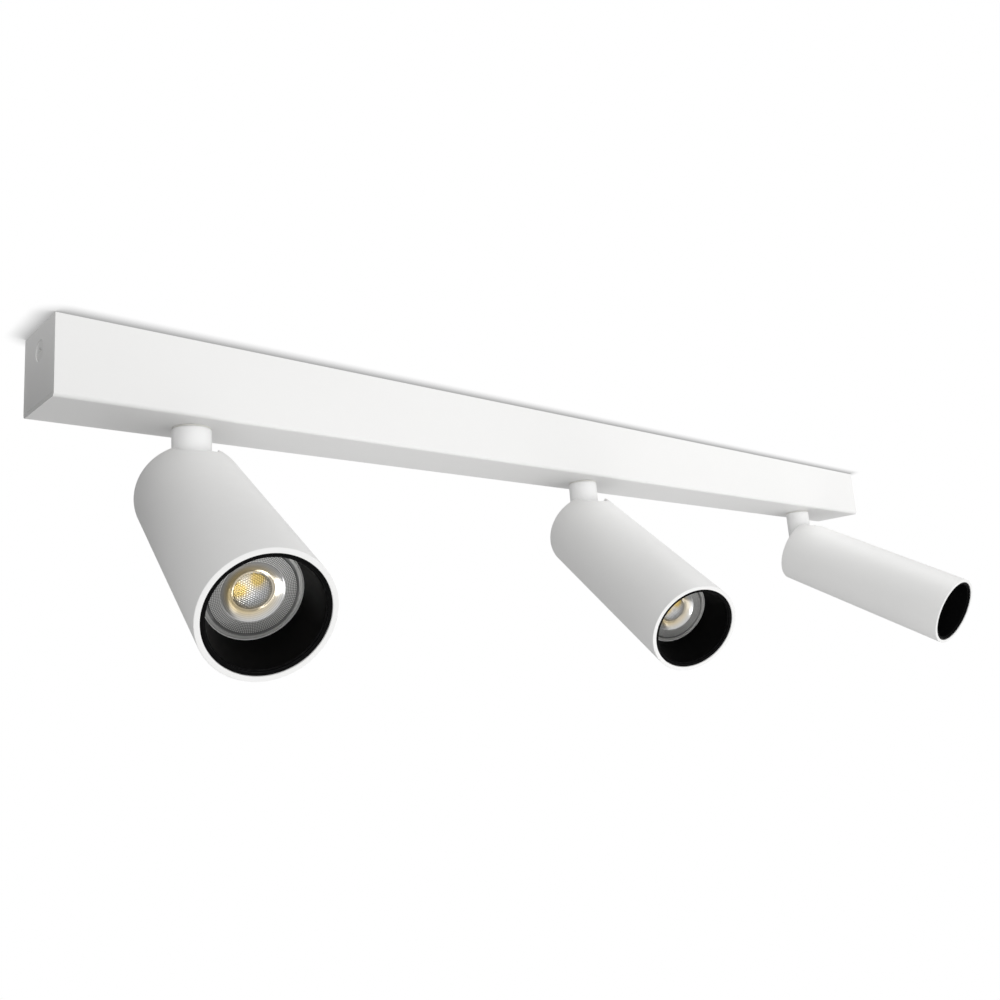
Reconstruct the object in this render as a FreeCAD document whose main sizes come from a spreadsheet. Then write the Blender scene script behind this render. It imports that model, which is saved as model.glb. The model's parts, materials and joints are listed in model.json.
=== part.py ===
import FreeCAD, Part

"""Ceiling spotlight bar: a U-shaped canopy that carries three tubular heads on short necks.

Each neck turns under the bar (pan) and each tube tilts on the fork at the end of its neck.
Millimetres and degrees. The origin is the centre of the ceiling face: +Z up, X along the bar,
-Y towards the front. Every size is a cell of the sheet "Sizes", and every feature is bound to it.

Three frames are used. Bar pieces are drawn in the part's own frame. Neck pieces are drawn
in the pan frame: origin on the bar's underside, +X the way the head points. Head pieces are
drawn in the tilt frame: origin on the tilt pivot, +Z towards the tube's rear end and +X towards
the notch in its wall.
"""

import math
import os

import Sketcher
from FreeCAD import Placement, Rotation, Vector

SIZES = {
    # canopy bar
    "bar_length": 750,
    "bar_width": 43,
    "bar_height": 40,
    "bar_wall": 2,
    "bar_corner": 2,
    "head_pitch": 300,
    # end caps and their screws
    "cap_plate": 3,
    "cap_flange_depth": 8,
    "cap_flange": 1.5,
    "joint_gap": 0.12,
    "end_screw_drop": 12,
    "end_screw_play": 0.3,
    "end_screw_recess": 0.35,
    "end_screw_radius": 2.5,
    "end_screw_head": 5,
    "end_screw_sink": 5.4,
    "end_screw_length": 14,
    "end_socket_flats": 3,
    "end_socket_depth": 2,
    # mounting strip
    "strip_width": 34,
    "strip_sheet": 1.5,
    "tab_height": 22,
    "weld_nut_radius": 5,
    "weld_nut_height": 3.5,
    "slot_pitch": 400,
    "slot_length": 12,
    "slot_radius": 2.5,
    "cable_x": 60,
    "bush_bore": 5,
    "bush_neck": 7,
    "bush_flange": 9,
    "bush_height": 3.5,
    # electrical pieces in the bar
    "block_x": 150,
    "block_length": 22,
    "block_width": 25,
    "block_height": 15,
    "pole_pitch": 8,
    "pole_bore": 2.6,
    "pole_height": 6,
    "pole_screw_radius": 1.6,
    "pole_screw_offset": 6,
    "pole_screw_length": 5.5,
    "pole_screw_sunk": 0.6,
    "pole_well_play": 0.2,
    "slit_width": 0.6,
    "slit_depth": 0.7,
    "lead_radius": 2.25,
    "lead_bend": 13,
    "lead_end_gap": 0.3,
    "lead_above_pivot": 4.2,
    "lead_below_pivot": 3.2,
    "earth_x": 215,
    "earth_radius": 2,
    "earth_length": 11,
    "earth_nut_flats": 7,
    "earth_nut_height": 3.2,
    "earth_nut_level": 3,
    # neck
    "neck_radius": 10,
    "neck_bore": 3.2,
    "knuckle_relief": 0.001,
    "pivot_drop": 36.7,
    "washer_sheet": 0.8,
    "washer_inset": 0.3,
    "rim_chamfer": 0.4,
    "slip": 0.05,
    "thread_play": 0.02,
    "tail_radius": 5,
    "tail_length": 12,
    "fork_slot": 3.2,
    "fork_flat": 7.5,
    "fork_flat_reach": 8,
    "fork_slot_reach": 4,
    "stop_sheet": 1.5,
    "stop_radius": 9,
    "stop_reach": 15.5,
    "stop_tab": 2,
    "stop_pin_orbit": 13.5,
    "stop_pin_radius": 1.2,
    "stop_pin_height": 3.5,
    "nut_flats": 14,
    "nut_height": 5,
    # tube housing and rear cap
    "tube_radius": 28,
    "tube_wall": 2.4,
    "tube_length": 150,
    "tube_chamfer": 0.3,
    "pivot_depth": 2.5,
    "notch_radius": 11,
    "notch_inset": 0.65,
    "rear_plate": 3,
    "spigot_depth": 10,
    "spigot_wall": 2,
    "ear_near": 8.3,
    "ear_far": 16,
    "ear_half": 6.5,
    "ear_depth": 8,
    # pivot screws and friction washers
    "pivot_thread": 2,
    "pivot_point": 1.5,
    "pivot_inner": 4,
    "pivot_sunk": 0.5,
    "pivot_socket_flats": 2,
    "pivot_socket_depth": 2,
    "friction_radius": 6,
    "friction_sheet": 0.7,
    # lamp holder and its plate
    "lamp_depth": 23.2,
    "holder_depth": 70,
    "holder_height": 17,
    "holder_radius": 14,
    "plate_sheet": 1.2,
    "plate_rim": 8,
    "holder_screw_radius": 1.5,
    "holder_screw_orbit": 8.5,
    "holder_screw_play": 0.1,
    "holder_screw_cap": 2.75,
    "holder_screw_cap_height": 1.8,
    "holder_screw_length": 7.9,
    "holder_lead_hole": 5,
    "pin_orbit": 5,
    "pin_radius": 1.35,
    "pin_head": 2.45,
    "pin_length": 7,
    "pin_head_height": 2.8,
    "pin_root": 4,
    "keyhole_play": 0.4,
    # lamp
    "lamp_radius": 24.8,
    "lamp_base_radius": 12.4,
    "lamp_waist_radius": 15.5,
    "lamp_gap": 0.3,
    "lamp_base_height": 7,
    "lamp_base_flare": 2,
    "lamp_belt": 14,
    "fin_depth": 1.8,
    "fin_width": 2,
    "lens_radius": 20.5,
    "lens_sheet": 2.6,
    "lens_bowl": 13,
    "lens_bowl_floor": 8.2,
    "lens_bowl_depth": 2.8,
    "lens_dome": 7.5,
    "lens_dome_depth": 0.6,
    "lens_rim": 0.7,
    "lens_groove": 0.8,
    "lens_groove_slope": 0.2,
    "lens_seat": 1.5,
    "optic_radius": 9.4,
    "optic_lip": 5,
    "optic_depth": 9,
    "optic_hollow": 5,
    "chip_floor": 17,
    # anti-glare baffle
    "baffle_inset": 0.5,
    "baffle_lip": 23.9,
    "baffle_step": 23.4,
    "baffle_throat": 20.8,
    "baffle_skirt": 18,
    "baffle_sheet": 1.1,
    "baffle_lip_depth": 1.1,
    "baffle_fold": 1.6,
    "tube_clearance": 0.1,
    # where the three heads point at rest: heading about +Z, and tilt up from straight down
    "pan_1": -102.8,
    "tilt_1": 60.2,
    "pan_2": -110.7,
    "tilt_2": 57.0,
    "pan_3": -90.6,
    "tilt_3": 61.3,
}

HEADS = (1, 2, 3)
FIN_COUNT = 18
DOME_STEPS = 8

doc = FreeCAD.newDocument("spot_bar")
sheet = doc.addObject("Spreadsheet::Sheet", "Sizes")


# ---------------------------------------------------------------- sizes and expressions

class Size:
    """A number together with the sheet expression that keeps it up to date."""

    def __init__(self, number, text):
        self.number = float(number)
        self.text = text

    def joined(self, sign, other, number):
        return Size(number, f"({self.text} {sign} {other.text})")

    def __add__(self, other):
        other = as_size(other)
        return self.joined("+", other, self.number + other.number)

    def __sub__(self, other):
        other = as_size(other)
        return self.joined("-", other, self.number - other.number)

    def __mul__(self, other):
        other = as_size(other)
        return self.joined("*", other, self.number * other.number)

    def __truediv__(self, other):
        other = as_size(other)
        return self.joined("/", other, self.number / other.number)

    def __neg__(self):
        return Size(-self.number, f"(0 - {self.text})")


def as_size(value):
    """A Size as it is, and a bare number as a constant Size."""
    return value if isinstance(value, Size) else Size(value, f"{float(value):.6f}")


class Table:
    """The sheet's sizes by alias, as attributes."""

    def __init__(self, sizes):
        for row, (alias, number) in enumerate(sizes.items(), start=1):
            sheet.set(f"A{row}", alias)
            sheet.set(f"B{row}", str(number))
            sheet.setAlias(f"B{row}", alias)
            setattr(self, alias, Size(number, f"Sizes.{alias}"))


D = Table(SIZES)
doc.recompute()


# ---------------------------------------------------------------- sketches and features

def new_body(label, frame=Placement()):
    """An empty body in its frame, ready for sketches and features."""
    body = doc.addObject("PartDesign::Body", label)
    body.Label = label
    body.Placement = frame
    return body


def new_sketch(body, plane, offset=0):
    """A sketch on one of the body's origin planes, lifted along the plane's normal."""
    sketch = body.newObject("Sketcher::SketchObject", f"{body.Name}_sketch")
    support = [item for item in body.Origin.OriginFeatures if item.Role == f"{plane}_Plane"][0]
    sketch.AttachmentSupport = [(support, "")]
    sketch.MapMode = "FlatFace"
    offset = as_size(offset)
    sketch.AttachmentOffset = Placement(Vector(0, 0, offset.number), Rotation())
    sketch.setExpression("AttachmentOffset.Base.z", offset.text)
    return sketch


def hold(sketch, kind, *where):
    """Add a constraint whose last argument is a size."""
    size = as_size(where[-1])
    index = sketch.addConstraint(Sketcher.Constraint(kind, *where[:-1], size.number))
    sketch.setExpression(f"Constraints[{index}]", size.text)


def draw_outline(sketch, corners):
    """A closed polygon with both coordinates of every corner held by a size."""
    corners = [(as_size(x), as_size(y)) for x, y in corners]
    spots = [Vector(x.number, y.number, 0) for x, y in corners]
    first = sketch.GeometryCount
    for start, end in zip(spots, spots[1:] + spots[:1]):
        sketch.addGeometry(Part.LineSegment(start, end), False)
    for step, (x, y) in enumerate(corners):
        line = first + step
        following = first + (step + 1) % len(corners)
        sketch.addConstraint(Sketcher.Constraint("Coincident", line, 2, following, 1))
        hold(sketch, "DistanceX", line, 1, x)
        hold(sketch, "DistanceY", line, 1, y)


def draw_box(sketch, left, right, low, high):
    """An upright rectangle between two x and two y sizes."""
    draw_outline(sketch, [(left, low), (right, low), (right, high), (left, high)])


def draw_circle(sketch, x, y, radius):
    """A circle with its centre and radius held by sizes."""
    x, y, radius = as_size(x), as_size(y), as_size(radius)
    centre = Vector(x.number, y.number, 0)
    ring = sketch.addGeometry(Part.Circle(centre, Vector(0, 0, 1), radius.number), False)
    hold(sketch, "DistanceX", ring, 3, x)
    hold(sketch, "DistanceY", ring, 3, y)
    hold(sketch, "Radius", ring, radius)


def draw_slot(sketch, x, y, length, radius):
    """A round-ended slot along the sketch's x, by its centre, end-to-end length and end radius."""
    half = length / 2 - radius
    up, down = math.radians(90), math.radians(270)
    right = Vector((x + half).number, as_size(y).number, 0)
    left = Vector((x - half).number, as_size(y).number, 0)
    circles = [Part.Circle(spot, Vector(0, 0, 1), radius.number) for spot in (right, left)]
    east = sketch.addGeometry(Part.ArcOfCircle(circles[0], down, down + math.pi), False)
    west = sketch.addGeometry(Part.ArcOfCircle(circles[1], up, up + math.pi), False)
    lift = Vector(0, radius.number, 0)
    top = sketch.addGeometry(Part.LineSegment(right + lift, left + lift), False)
    base = sketch.addGeometry(Part.LineSegment(left - lift, right - lift), False)
    for one, other in (((east, 2), (top, 1)), ((top, 2), (west, 1)),
                       ((west, 2), (base, 1)), ((base, 2), (east, 1))):
        sketch.addConstraint(Sketcher.Constraint("Tangent", *one, *other))
    for end, spot in ((east, x + half), (west, x - half)):
        hold(sketch, "DistanceX", end, 3, spot)
        hold(sketch, "DistanceY", end, 3, y)
    hold(sketch, "Radius", east, radius)


def pad(body, sketch, length, both_ways=False, reverse=False):
    """Raise a sketch into a solid."""
    return _extrude(body, "PartDesign::Pad", sketch, length, both_ways, reverse)


def pocket(body, sketch, length, both_ways=False, reverse=False):
    """Cut a sketch into the solid: a pocket runs against its plane's normal unless reversed."""
    return _extrude(body, "PartDesign::Pocket", sketch, length, both_ways, reverse)


def _extrude(body, kind, sketch, length, both_ways, reverse):
    length = as_size(length)
    feature = body.newObject(kind, f"{body.Name}_{kind.split('::')[1].lower()}")
    feature.Profile = sketch
    feature.Length = length.number
    feature.setExpression("Length", length.text)
    feature.SideType = "Symmetric" if both_ways else "One side"
    feature.Reversed = reverse
    return feature


def cut_through(body, sketch):
    """Cut a sketch through the whole solid, both ways from its plane."""
    feature = body.newObject("PartDesign::Pocket", f"{body.Name}_through")
    feature.Profile = sketch
    feature.Type = "ThroughAll"
    feature.SideType = "Symmetric"
    return feature


def turn(body, corners):
    """Revolve a closed outline about the body's Z axis: each corner is (radius, height)."""
    sketch = new_sketch(body, "XZ")
    draw_outline(sketch, corners)
    feature = body.newObject("PartDesign::Revolution", f"{body.Name}_turned")
    feature.Profile = sketch
    feature.ReferenceAxis = (sketch, ["V_Axis"])
    feature.Angle = 360
    return feature


def pick_edges(feature, wanted):
    """Names of the edges of a feature's shape for which wanted(edge) is true."""
    doc.recompute()
    edges = enumerate(feature.Shape.Edges, start=1)
    return [f"Edge{number}" for number, edge in edges if wanted(edge)]


def dress(body, kind, feature, wanted, size):
    """A fillet or chamfer on the chosen edges of a feature."""
    size = as_size(size)
    dressed = body.newObject(kind, f"{body.Name}_{kind.split('::')[1].lower()}")
    dressed.Base = (feature, pick_edges(feature, wanted))
    amount = "Radius" if kind.endswith("Fillet") else "Size"
    setattr(dressed, amount, size.number)
    dressed.setExpression(amount, size.text)
    return dressed


def is_circle_at(edge, height, radius):
    """Whether an edge is a full circle of a radius with its centre at a height on Z."""
    curve = edge.Curve
    if not isinstance(curve, Part.Circle):
        return False
    return abs(curve.Center.z - height) < 0.01 and abs(curve.Radius - radius) < 0.01


def group(label, members, frame=Placement()):
    """One sub-part made of separate equal solids."""
    compound = doc.addObject("Part::Compound", label)
    compound.Label = label
    compound.Links = members
    compound.Placement = frame
    return compound


def bind(thing, **sizes):
    """Bind the properties of a primitive solid to sizes."""
    for name, size in sizes.items():
        size = as_size(size)
        setattr(thing, name, size.number)
        thing.setExpression(name, size.text)


def cylinder(label, radius, height, frame):
    """A cylinder that stands on its frame's XY plane."""
    solid = doc.addObject("Part::Cylinder", label)
    bind(solid, Radius=radius, Height=height)
    solid.Placement = frame
    return solid


def hexagon(label, flats, height, frame):
    """A hexagonal prism by its width across flats."""
    solid = doc.addObject("Part::Prism", label)
    solid.Polygon = 6
    bind(solid, Circumradius=flats / 2 / math.cos(math.radians(30)), Height=height)
    solid.Placement = frame
    return solid


def fused(label, first, second):
    """Two solids made into one."""
    joined = doc.addObject("Part::Fuse", label)
    joined.Base = first
    joined.Tool = second
    return joined


def minus(label, base, tool):
    """One solid cut by another."""
    left = doc.addObject("Part::Cut", label)
    left.Base = base
    left.Tool = tool
    return left


def at(x=0, y=0, z=0, rotation=None):
    """A placement from sizes or numbers."""
    spot = Vector(*(as_size(value).number for value in (x, y, z)))
    return Placement(spot, rotation or Rotation())


# ---------------------------------------------------------------- where things are

def head_x(number):
    """X of a head's neck axis."""
    return D.head_pitch * (number - 2)


def pan_frame(number):
    """The frame of a neck: on the bar's underside, X towards where the head points."""
    pan = getattr(D, f"pan_{number}").number
    return at(head_x(number), 0, -D.bar_height, Rotation(Vector(0, 0, 1), pan))


def tilt_frame(number):
    """The frame of a head: on the tilt pivot, Z along the tube towards its rear end."""
    tilt = getattr(D, f"tilt_{number}").number
    return pan_frame(number) * at(0, 0, -D.pivot_drop, Rotation(Vector(0, 1, 0), -tilt))


def from_front(depth):
    """Height in the tilt frame of a plane at a depth behind the tube's front rim."""
    return D.pivot_depth - D.tube_length + depth


FLOOR = -D.bar_height + D.bar_wall
INSIDE = D.bar_width / 2 - D.bar_wall
BORE = D.tube_radius - D.tube_wall
HALF_BAR = D.bar_length / 2
TURN_HALF = Rotation(Vector(0, 0, 1), 180)


# ---------------------------------------------------------------- the bar

def make_canopy_channel():
    """The visible U channel, open at the ceiling, with the holes for the necks in its floor."""
    body = new_body("canopy_channel")
    profile = new_sketch(body, "YZ")
    half, inner = D.bar_width / 2, INSIDE
    draw_outline(profile, [
        (-half, 0), (-half, -D.bar_height), (half, -D.bar_height), (half, 0),
        (inner, 0), (inner, FLOOR), (-inner, FLOOR), (-inner, 0)])
    channel = pad(body, profile, D.bar_length, both_ways=True)

    def is_outer_corner(edge):
        box = edge.BoundBox
        low = abs(box.ZMax + D.bar_height.number) < 0.01
        return low and box.XLength > 1 and abs(abs(box.YMin) - half.number) < 0.01

    dress(body, "PartDesign::Fillet", channel, is_outer_corner, D.bar_corner)
    necks = new_sketch(body, "XY", FLOOR)
    for number in HEADS:
        draw_circle(necks, head_x(number), 0, D.tail_radius + D.slip)
    pocket(body, necks, D.bar_wall + 1)
    pins = new_sketch(body, "XY", FLOOR)
    for number in HEADS:
        draw_circle(pins, head_x(number), -D.stop_pin_orbit, D.stop_pin_radius)
    pocket(body, pins, D.bar_wall / 2)
    return body


def make_end_cap(label, frame):
    """A plate set flush into the channel's end, with a flange on three sides and a sunk hole."""
    body = new_body(label, frame)
    half = INSIDE - D.joint_gap
    low = FLOOR + D.joint_gap
    plate = new_sketch(body, "YZ")
    draw_box(plate, -half, half, low, 0)
    pad(body, plate, D.cap_plate + D.cap_flange_depth, reverse=True)
    hollow = new_sketch(body, "YZ", -D.cap_plate)
    draw_box(hollow, -half + D.cap_flange, half - D.cap_flange, low + D.cap_flange, 1)
    pocket(body, hollow, D.cap_flange_depth + 1)
    hole = new_sketch(body, "YZ")
    draw_circle(hole, 0, -D.end_screw_drop, D.end_screw_radius + D.end_screw_play)
    drilled = pocket(body, hole, D.cap_plate + 1)

    def is_outer_rim(edge):
        curve = edge.Curve
        return isinstance(curve, Part.Circle) and abs(curve.Center.x) < 0.01

    sink = D.end_screw_sink - D.end_screw_radius - D.end_screw_play
    dress(body, "PartDesign::Chamfer", drilled, is_outer_rim, sink)
    return body


def make_end_screw(label, frame):
    """A countersunk socket screw: its flat top is on the YZ plane and it runs along -X."""
    cone = doc.addObject("Part::Cone", f"{label}_cone")
    depth = D.end_screw_head - D.end_screw_radius
    bind(cone, Radius1=D.end_screw_radius, Radius2=D.end_screw_head, Height=depth)
    cone.Placement = at(z=-depth)
    length = D.end_screw_length
    shank = cylinder(f"{label}_shank", D.end_screw_radius - D.slip, length, at(z=-length))
    solid = fused(f"{label}_solid", cone, shank)
    depth = D.end_socket_depth
    socket = hexagon(f"{label}_socket", D.end_socket_flats, depth + 1, at(z=-depth))
    screw = minus(label, solid, socket)
    screw.Placement = frame
    return screw


def make_mounting_strip():
    """The steel strip that is screwed to the ceiling first; its end tabs take the end screws."""
    body = new_body("mounting_strip")
    outer = HALF_BAR - D.cap_plate - D.slip
    inner = outer - D.strip_sheet
    profile = new_sketch(body, "XZ")
    draw_outline(profile, [
        (-outer, 0), (outer, 0), (outer, -D.tab_height), (inner, -D.tab_height),
        (inner, -D.strip_sheet), (-inner, -D.strip_sheet),
        (-inner, -D.tab_height), (-outer, -D.tab_height)])
    strip = pad(body, profile, D.strip_width, both_ways=True)

    def is_bend(edge):
        box = edge.BoundBox
        return box.YLength > 1 and abs(box.ZMin) < 0.01

    dress(body, "PartDesign::Fillet", strip, is_bend, D.strip_sheet)
    for side in (-1, 1):
        nut = new_sketch(body, "YZ", inner * side)
        draw_circle(nut, 0, -D.end_screw_drop, D.weld_nut_radius)
        pad(body, nut, D.weld_nut_height, reverse=side > 0)
    threads = new_sketch(body, "YZ")
    draw_circle(threads, 0, -D.end_screw_drop, D.end_screw_radius)
    cut_through(body, threads)
    openings = new_sketch(body, "XY")
    for side in (-1, 1):
        draw_slot(openings, D.slot_pitch / 2 * side, 0, D.slot_length, D.slot_radius)
    draw_circle(openings, D.cable_x, 0, D.bush_neck + D.slip)
    cut_through(body, openings)
    return body


def make_cable_bush():
    """The rubber bush in the strip's cable hole, flush with the ceiling."""
    body = new_body("cable_bush", at(D.cable_x))
    sheet_low = -D.strip_sheet - D.slip
    turn(body, [
        (D.bush_bore, 0), (D.bush_neck, 0), (D.bush_neck, sheet_low),
        (D.bush_flange, sheet_low), (D.bush_flange, -D.bush_height),
        (D.bush_bore, -D.bush_height)])
    return body


def make_terminal_block():
    """The three-pole block on the channel floor: wire bores along X, screw wells from above."""
    body = new_body("terminal_block", at(D.block_x, 0, FLOOR))
    base = new_sketch(body, "XY")
    length, width = D.block_length / 2, D.block_width / 2
    draw_box(base, -length, length, -width, width)
    pad(body, base, D.block_height)
    bores = new_sketch(body, "YZ")
    wells = new_sketch(body, "XY", D.block_height)
    for pole in (-1, 0, 1):
        draw_circle(bores, D.pole_pitch * pole, D.pole_height, D.pole_bore)
        for side in (-1, 1):
            well = D.pole_screw_radius + D.pole_well_play
            draw_circle(wells, D.pole_screw_offset * side, D.pole_pitch * pole, well)
    cut_through(body, bores)
    pocket(body, wells, D.block_height - D.pole_height)
    return body


def make_terminal_screws():
    """The six clamping screws, each down its well, above the wire."""
    screws = []
    low = D.pole_height + D.pole_bore - D.pole_screw_sunk
    for pole in (-1, 0, 1):
        for side in (-1, 1):
            name = f"terminal_screw_{len(screws) + 1}"
            frame = at(D.block_x + D.pole_screw_offset * side, D.pole_pitch * pole, FLOOR + low)
            rod = cylinder(f"{name}_rod", D.pole_screw_radius, D.pole_screw_length, at())
            slit = doc.addObject("Part::Box", f"{name}_slit")
            bind(slit, Length=D.pole_screw_radius * 3, Width=D.slit_width, Height=D.slit_depth * 2)
            bottom = D.pole_screw_length - D.slit_depth
            slit.Placement = at(D.pole_screw_radius * -1.5, D.slit_width / -2, bottom)
            screw = minus(name, rod, slit)
            screw.Placement = frame
            screws.append(screw)
    return group("terminal_screws", screws)


def make_earth_terminal():
    """The earth stud clinched in the channel floor and its nut."""
    foot = at(D.earth_x, 0, FLOOR)
    stud = cylinder("earth_stud", D.earth_radius, D.earth_length, foot)
    hexed = hexagon("earth_nut_hex", D.earth_nut_flats, D.earth_nut_height, at())
    bore = cylinder("earth_nut_bore", D.earth_radius + D.slip, D.earth_nut_height + 2, at(z=-1))
    nut = minus("earth_nut", hexed, bore)
    nut.Placement = foot * at(z=D.earth_nut_level)
    return group("earth_terminal", [stud, nut])


def rounded_path(points, radius):
    """A wire through the points, with every corner rounded by a tangent arc."""
    edges = []
    start = points[0]
    for before, corner, after in zip(points, points[1:], points[2:]):
        inward = (before - corner).normalize()
        outward = (after - corner).normalize()
        half_turn = inward.getAngle(outward) / 2
        reach = radius / math.tan(half_turn)
        middle = (inward + outward).normalize() * (radius / math.sin(half_turn) - radius)
        entry, leave = corner + inward * reach, corner + outward * reach
        edges.append(Part.LineSegment(start, entry).toShape())
        edges.append(Part.Arc(entry, corner + middle, leave).toShape())
        start = leave
    edges.append(Part.LineSegment(start, points[-1]).toShape())
    return Part.Wire(edges)


def lead_routes():
    """Corner points of the three leads, from a pole of the block to just above a tilt pivot."""
    pole = (FLOOR + D.pole_height).number
    face = (D.block_length / 2 + D.lead_end_gap).number
    block, pitch, side = D.block_x.number, D.head_pitch.number, D.pole_pitch.number
    end = (-D.bar_height - D.pivot_drop + D.lead_above_pivot).number
    # The aisle is a line along the bar clear of the nuts; the leads run in it at two heights.
    aisle, high, middle = -14, -9, -15.5
    return [
        [Vector(block - face, -side, pole), Vector(block - 34, -side, pole),
         Vector(block - 62, aisle, high), Vector(-pitch + 42, aisle, high),
         Vector(-pitch, 0, high), Vector(-pitch, 0, end)],
        [Vector(block - face, 0, pole), Vector(block - 34, 0, pole),
         Vector(block - 70, aisle, middle), Vector(36, aisle, middle),
         Vector(0, 0, high), Vector(0, 0, end)],
        [Vector(block + face, side, pole), Vector(block + 34, side, pole),
         Vector(block + 70, side, middle), Vector(pitch - 30, side / 2, high),
         Vector(pitch, 0, high), Vector(pitch, 0, end)],
    ]


def make_bar_leads():
    """The sheathed leads from the block to the three necks, one solid each."""
    solids = []
    for points in lead_routes():
        path = rounded_path(points, D.lead_bend.number)
        section = Part.Circle(points[0], points[1] - points[0], D.lead_radius.number)
        ring = Part.Wire(section.toShape())
        tube = path.makePipeShell([ring], True, False)
        area = math.pi * D.lead_radius.number ** 2
        print(f"lead: {path.Length:.1f} mm, volume {tube.Volume / area / path.Length:.4f} of exact")
        solids.append(tube)
    leads = doc.addObject("Part::Feature", "bar_leads")
    leads.Label = "bar_leads"
    leads.Shape = Part.makeCompound(solids)
    leads.Placement = Placement()
    return leads


def make_stop_pins():
    """The three pins clinched in the channel floor that end each neck's turn."""
    pins = []
    for number in HEADS:
        foot = at(head_x(number), -D.stop_pin_orbit, FLOOR - D.bar_wall / 2)
        height = D.bar_wall / 2 + D.stop_pin_height
        pins.append(cylinder(f"stop_pin_{number}", D.stop_pin_radius, height, foot))
    return group("stop_pins", pins)


# ---------------------------------------------------------------- the necks

def make_neck_washer(number):
    """The thin nylon washer between the bar and the neck's shoulder."""
    body = new_body(f"neck_washer_{number}", pan_frame(number))
    inner, outer = D.tail_radius + D.slip, D.neck_radius - D.washer_inset
    turn(body, [(inner, -D.slip), (outer, -D.slip), (outer, -D.washer_sheet),
                (inner, -D.washer_sheet)])
    return body


def make_neck(number):
    """The hollow neck: threaded tail through the bar, round stem, forked and rounded knuckle."""
    body = new_body(f"neck_{number}", pan_frame(number))
    shoulder = -D.washer_sheet - D.slip
    side_view = new_sketch(body, "XZ")
    radius, drop = D.neck_radius, D.pivot_drop
    draw_box(side_view, -radius, radius, -drop, shoulder)
    pad(body, side_view, radius * 2, both_ways=True)
    knuckle = new_sketch(body, "XZ")
    draw_circle(knuckle, 0, -drop, radius - D.knuckle_relief)
    pad(body, knuckle, radius * 2, both_ways=True)
    trim = new_sketch(body, "XY")
    draw_box(trim, radius * -2, radius * 2, radius * -2, radius * 2)
    draw_circle(trim, 0, 0, radius)
    cut_through(body, trim)
    tail = new_sketch(body, "XY", shoulder)
    draw_circle(tail, 0, 0, D.tail_radius)
    pad(body, tail, D.tail_length + D.washer_sheet)
    flats = new_sketch(body, "YZ")
    top, bottom = -drop + D.fork_flat_reach, -drop - radius - 1
    for side in (-1, 1):
        near, far = D.fork_flat * side, (radius + 1) * side
        draw_box(flats, near, far, bottom, top)
    cut_through(body, flats)
    fork = new_sketch(body, "XZ")
    draw_box(fork, -D.fork_slot, radius + 1, bottom, -drop + D.fork_slot_reach)
    pocket(body, fork, D.fork_slot * 2, both_ways=True)
    bore = new_sketch(body, "XY")
    draw_circle(bore, 0, 0, D.neck_bore)
    cut_through(body, bore)
    eyes = new_sketch(body, "XZ")
    draw_circle(eyes, 0, -drop, D.pivot_point + D.slip)
    drilled = cut_through(body, eyes)

    def is_shoulder_rim(edge):
        return is_circle_at(edge, shoulder.number, radius.number)

    dress(body, "PartDesign::Chamfer", drilled, is_shoulder_rim, D.rim_chamfer)
    return body


def make_stop_washer(number):
    """The washer keyed to the neck's tail; its tab meets the stop pin at each end of the pan."""
    body = new_body(f"stop_washer_{number}", pan_frame(number))
    level = D.bar_wall + D.slip
    tab = new_sketch(body, "XY", level)
    draw_box(tab, -D.stop_reach, -D.tail_radius - 1, D.stop_tab / -2, D.stop_tab / 2)
    pad(body, tab, D.stop_sheet)
    disc = new_sketch(body, "XY", level)
    draw_circle(disc, 0, 0, D.stop_radius)
    pad(body, disc, D.stop_sheet)
    bore = new_sketch(body, "XY")
    draw_circle(bore, 0, 0, D.tail_radius + D.thread_play)
    cut_through(body, bore)
    return body


def make_lock_nut(number):
    """The thin hexagonal nut that clamps the neck to the bar."""
    level = D.bar_wall + D.stop_sheet + D.slip * 2
    hexed = hexagon(f"lock_nut_{number}_hex", D.nut_flats, D.nut_height, at())
    radius = D.tail_radius + D.thread_play
    bore = cylinder(f"lock_nut_{number}_bore", radius, D.nut_height + 2, at(z=-1))
    nut = minus(f"lock_nut_{number}", hexed, bore)
    nut.Label = f"lock_nut_{number}"
    nut.Placement = pan_frame(number) * at(z=level)
    return nut


# ---------------------------------------------------------------- the heads

def make_tube_housing(number):
    """The tube, with a half-round notch in its rear edge that the neck swings into."""
    body = new_body(f"tube_housing_{number}", tilt_frame(number))
    front = from_front(0)
    tube = turn(body, [(BORE, front), (D.tube_radius, front),
                       (D.tube_radius, D.pivot_depth), (BORE, D.pivot_depth)])

    def is_outer_rim(edge):
        ends = (front.number, D.pivot_depth.number)
        return any(is_circle_at(edge, end, D.tube_radius.number) for end in ends)

    dress(body, "PartDesign::Chamfer", tube, is_outer_rim, D.tube_chamfer)
    notch = new_sketch(body, "YZ")
    draw_circle(notch, 0, D.pivot_depth - D.notch_inset, D.notch_radius)
    pocket(body, notch, D.tube_radius + 1, reverse=True)
    return body


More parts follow.
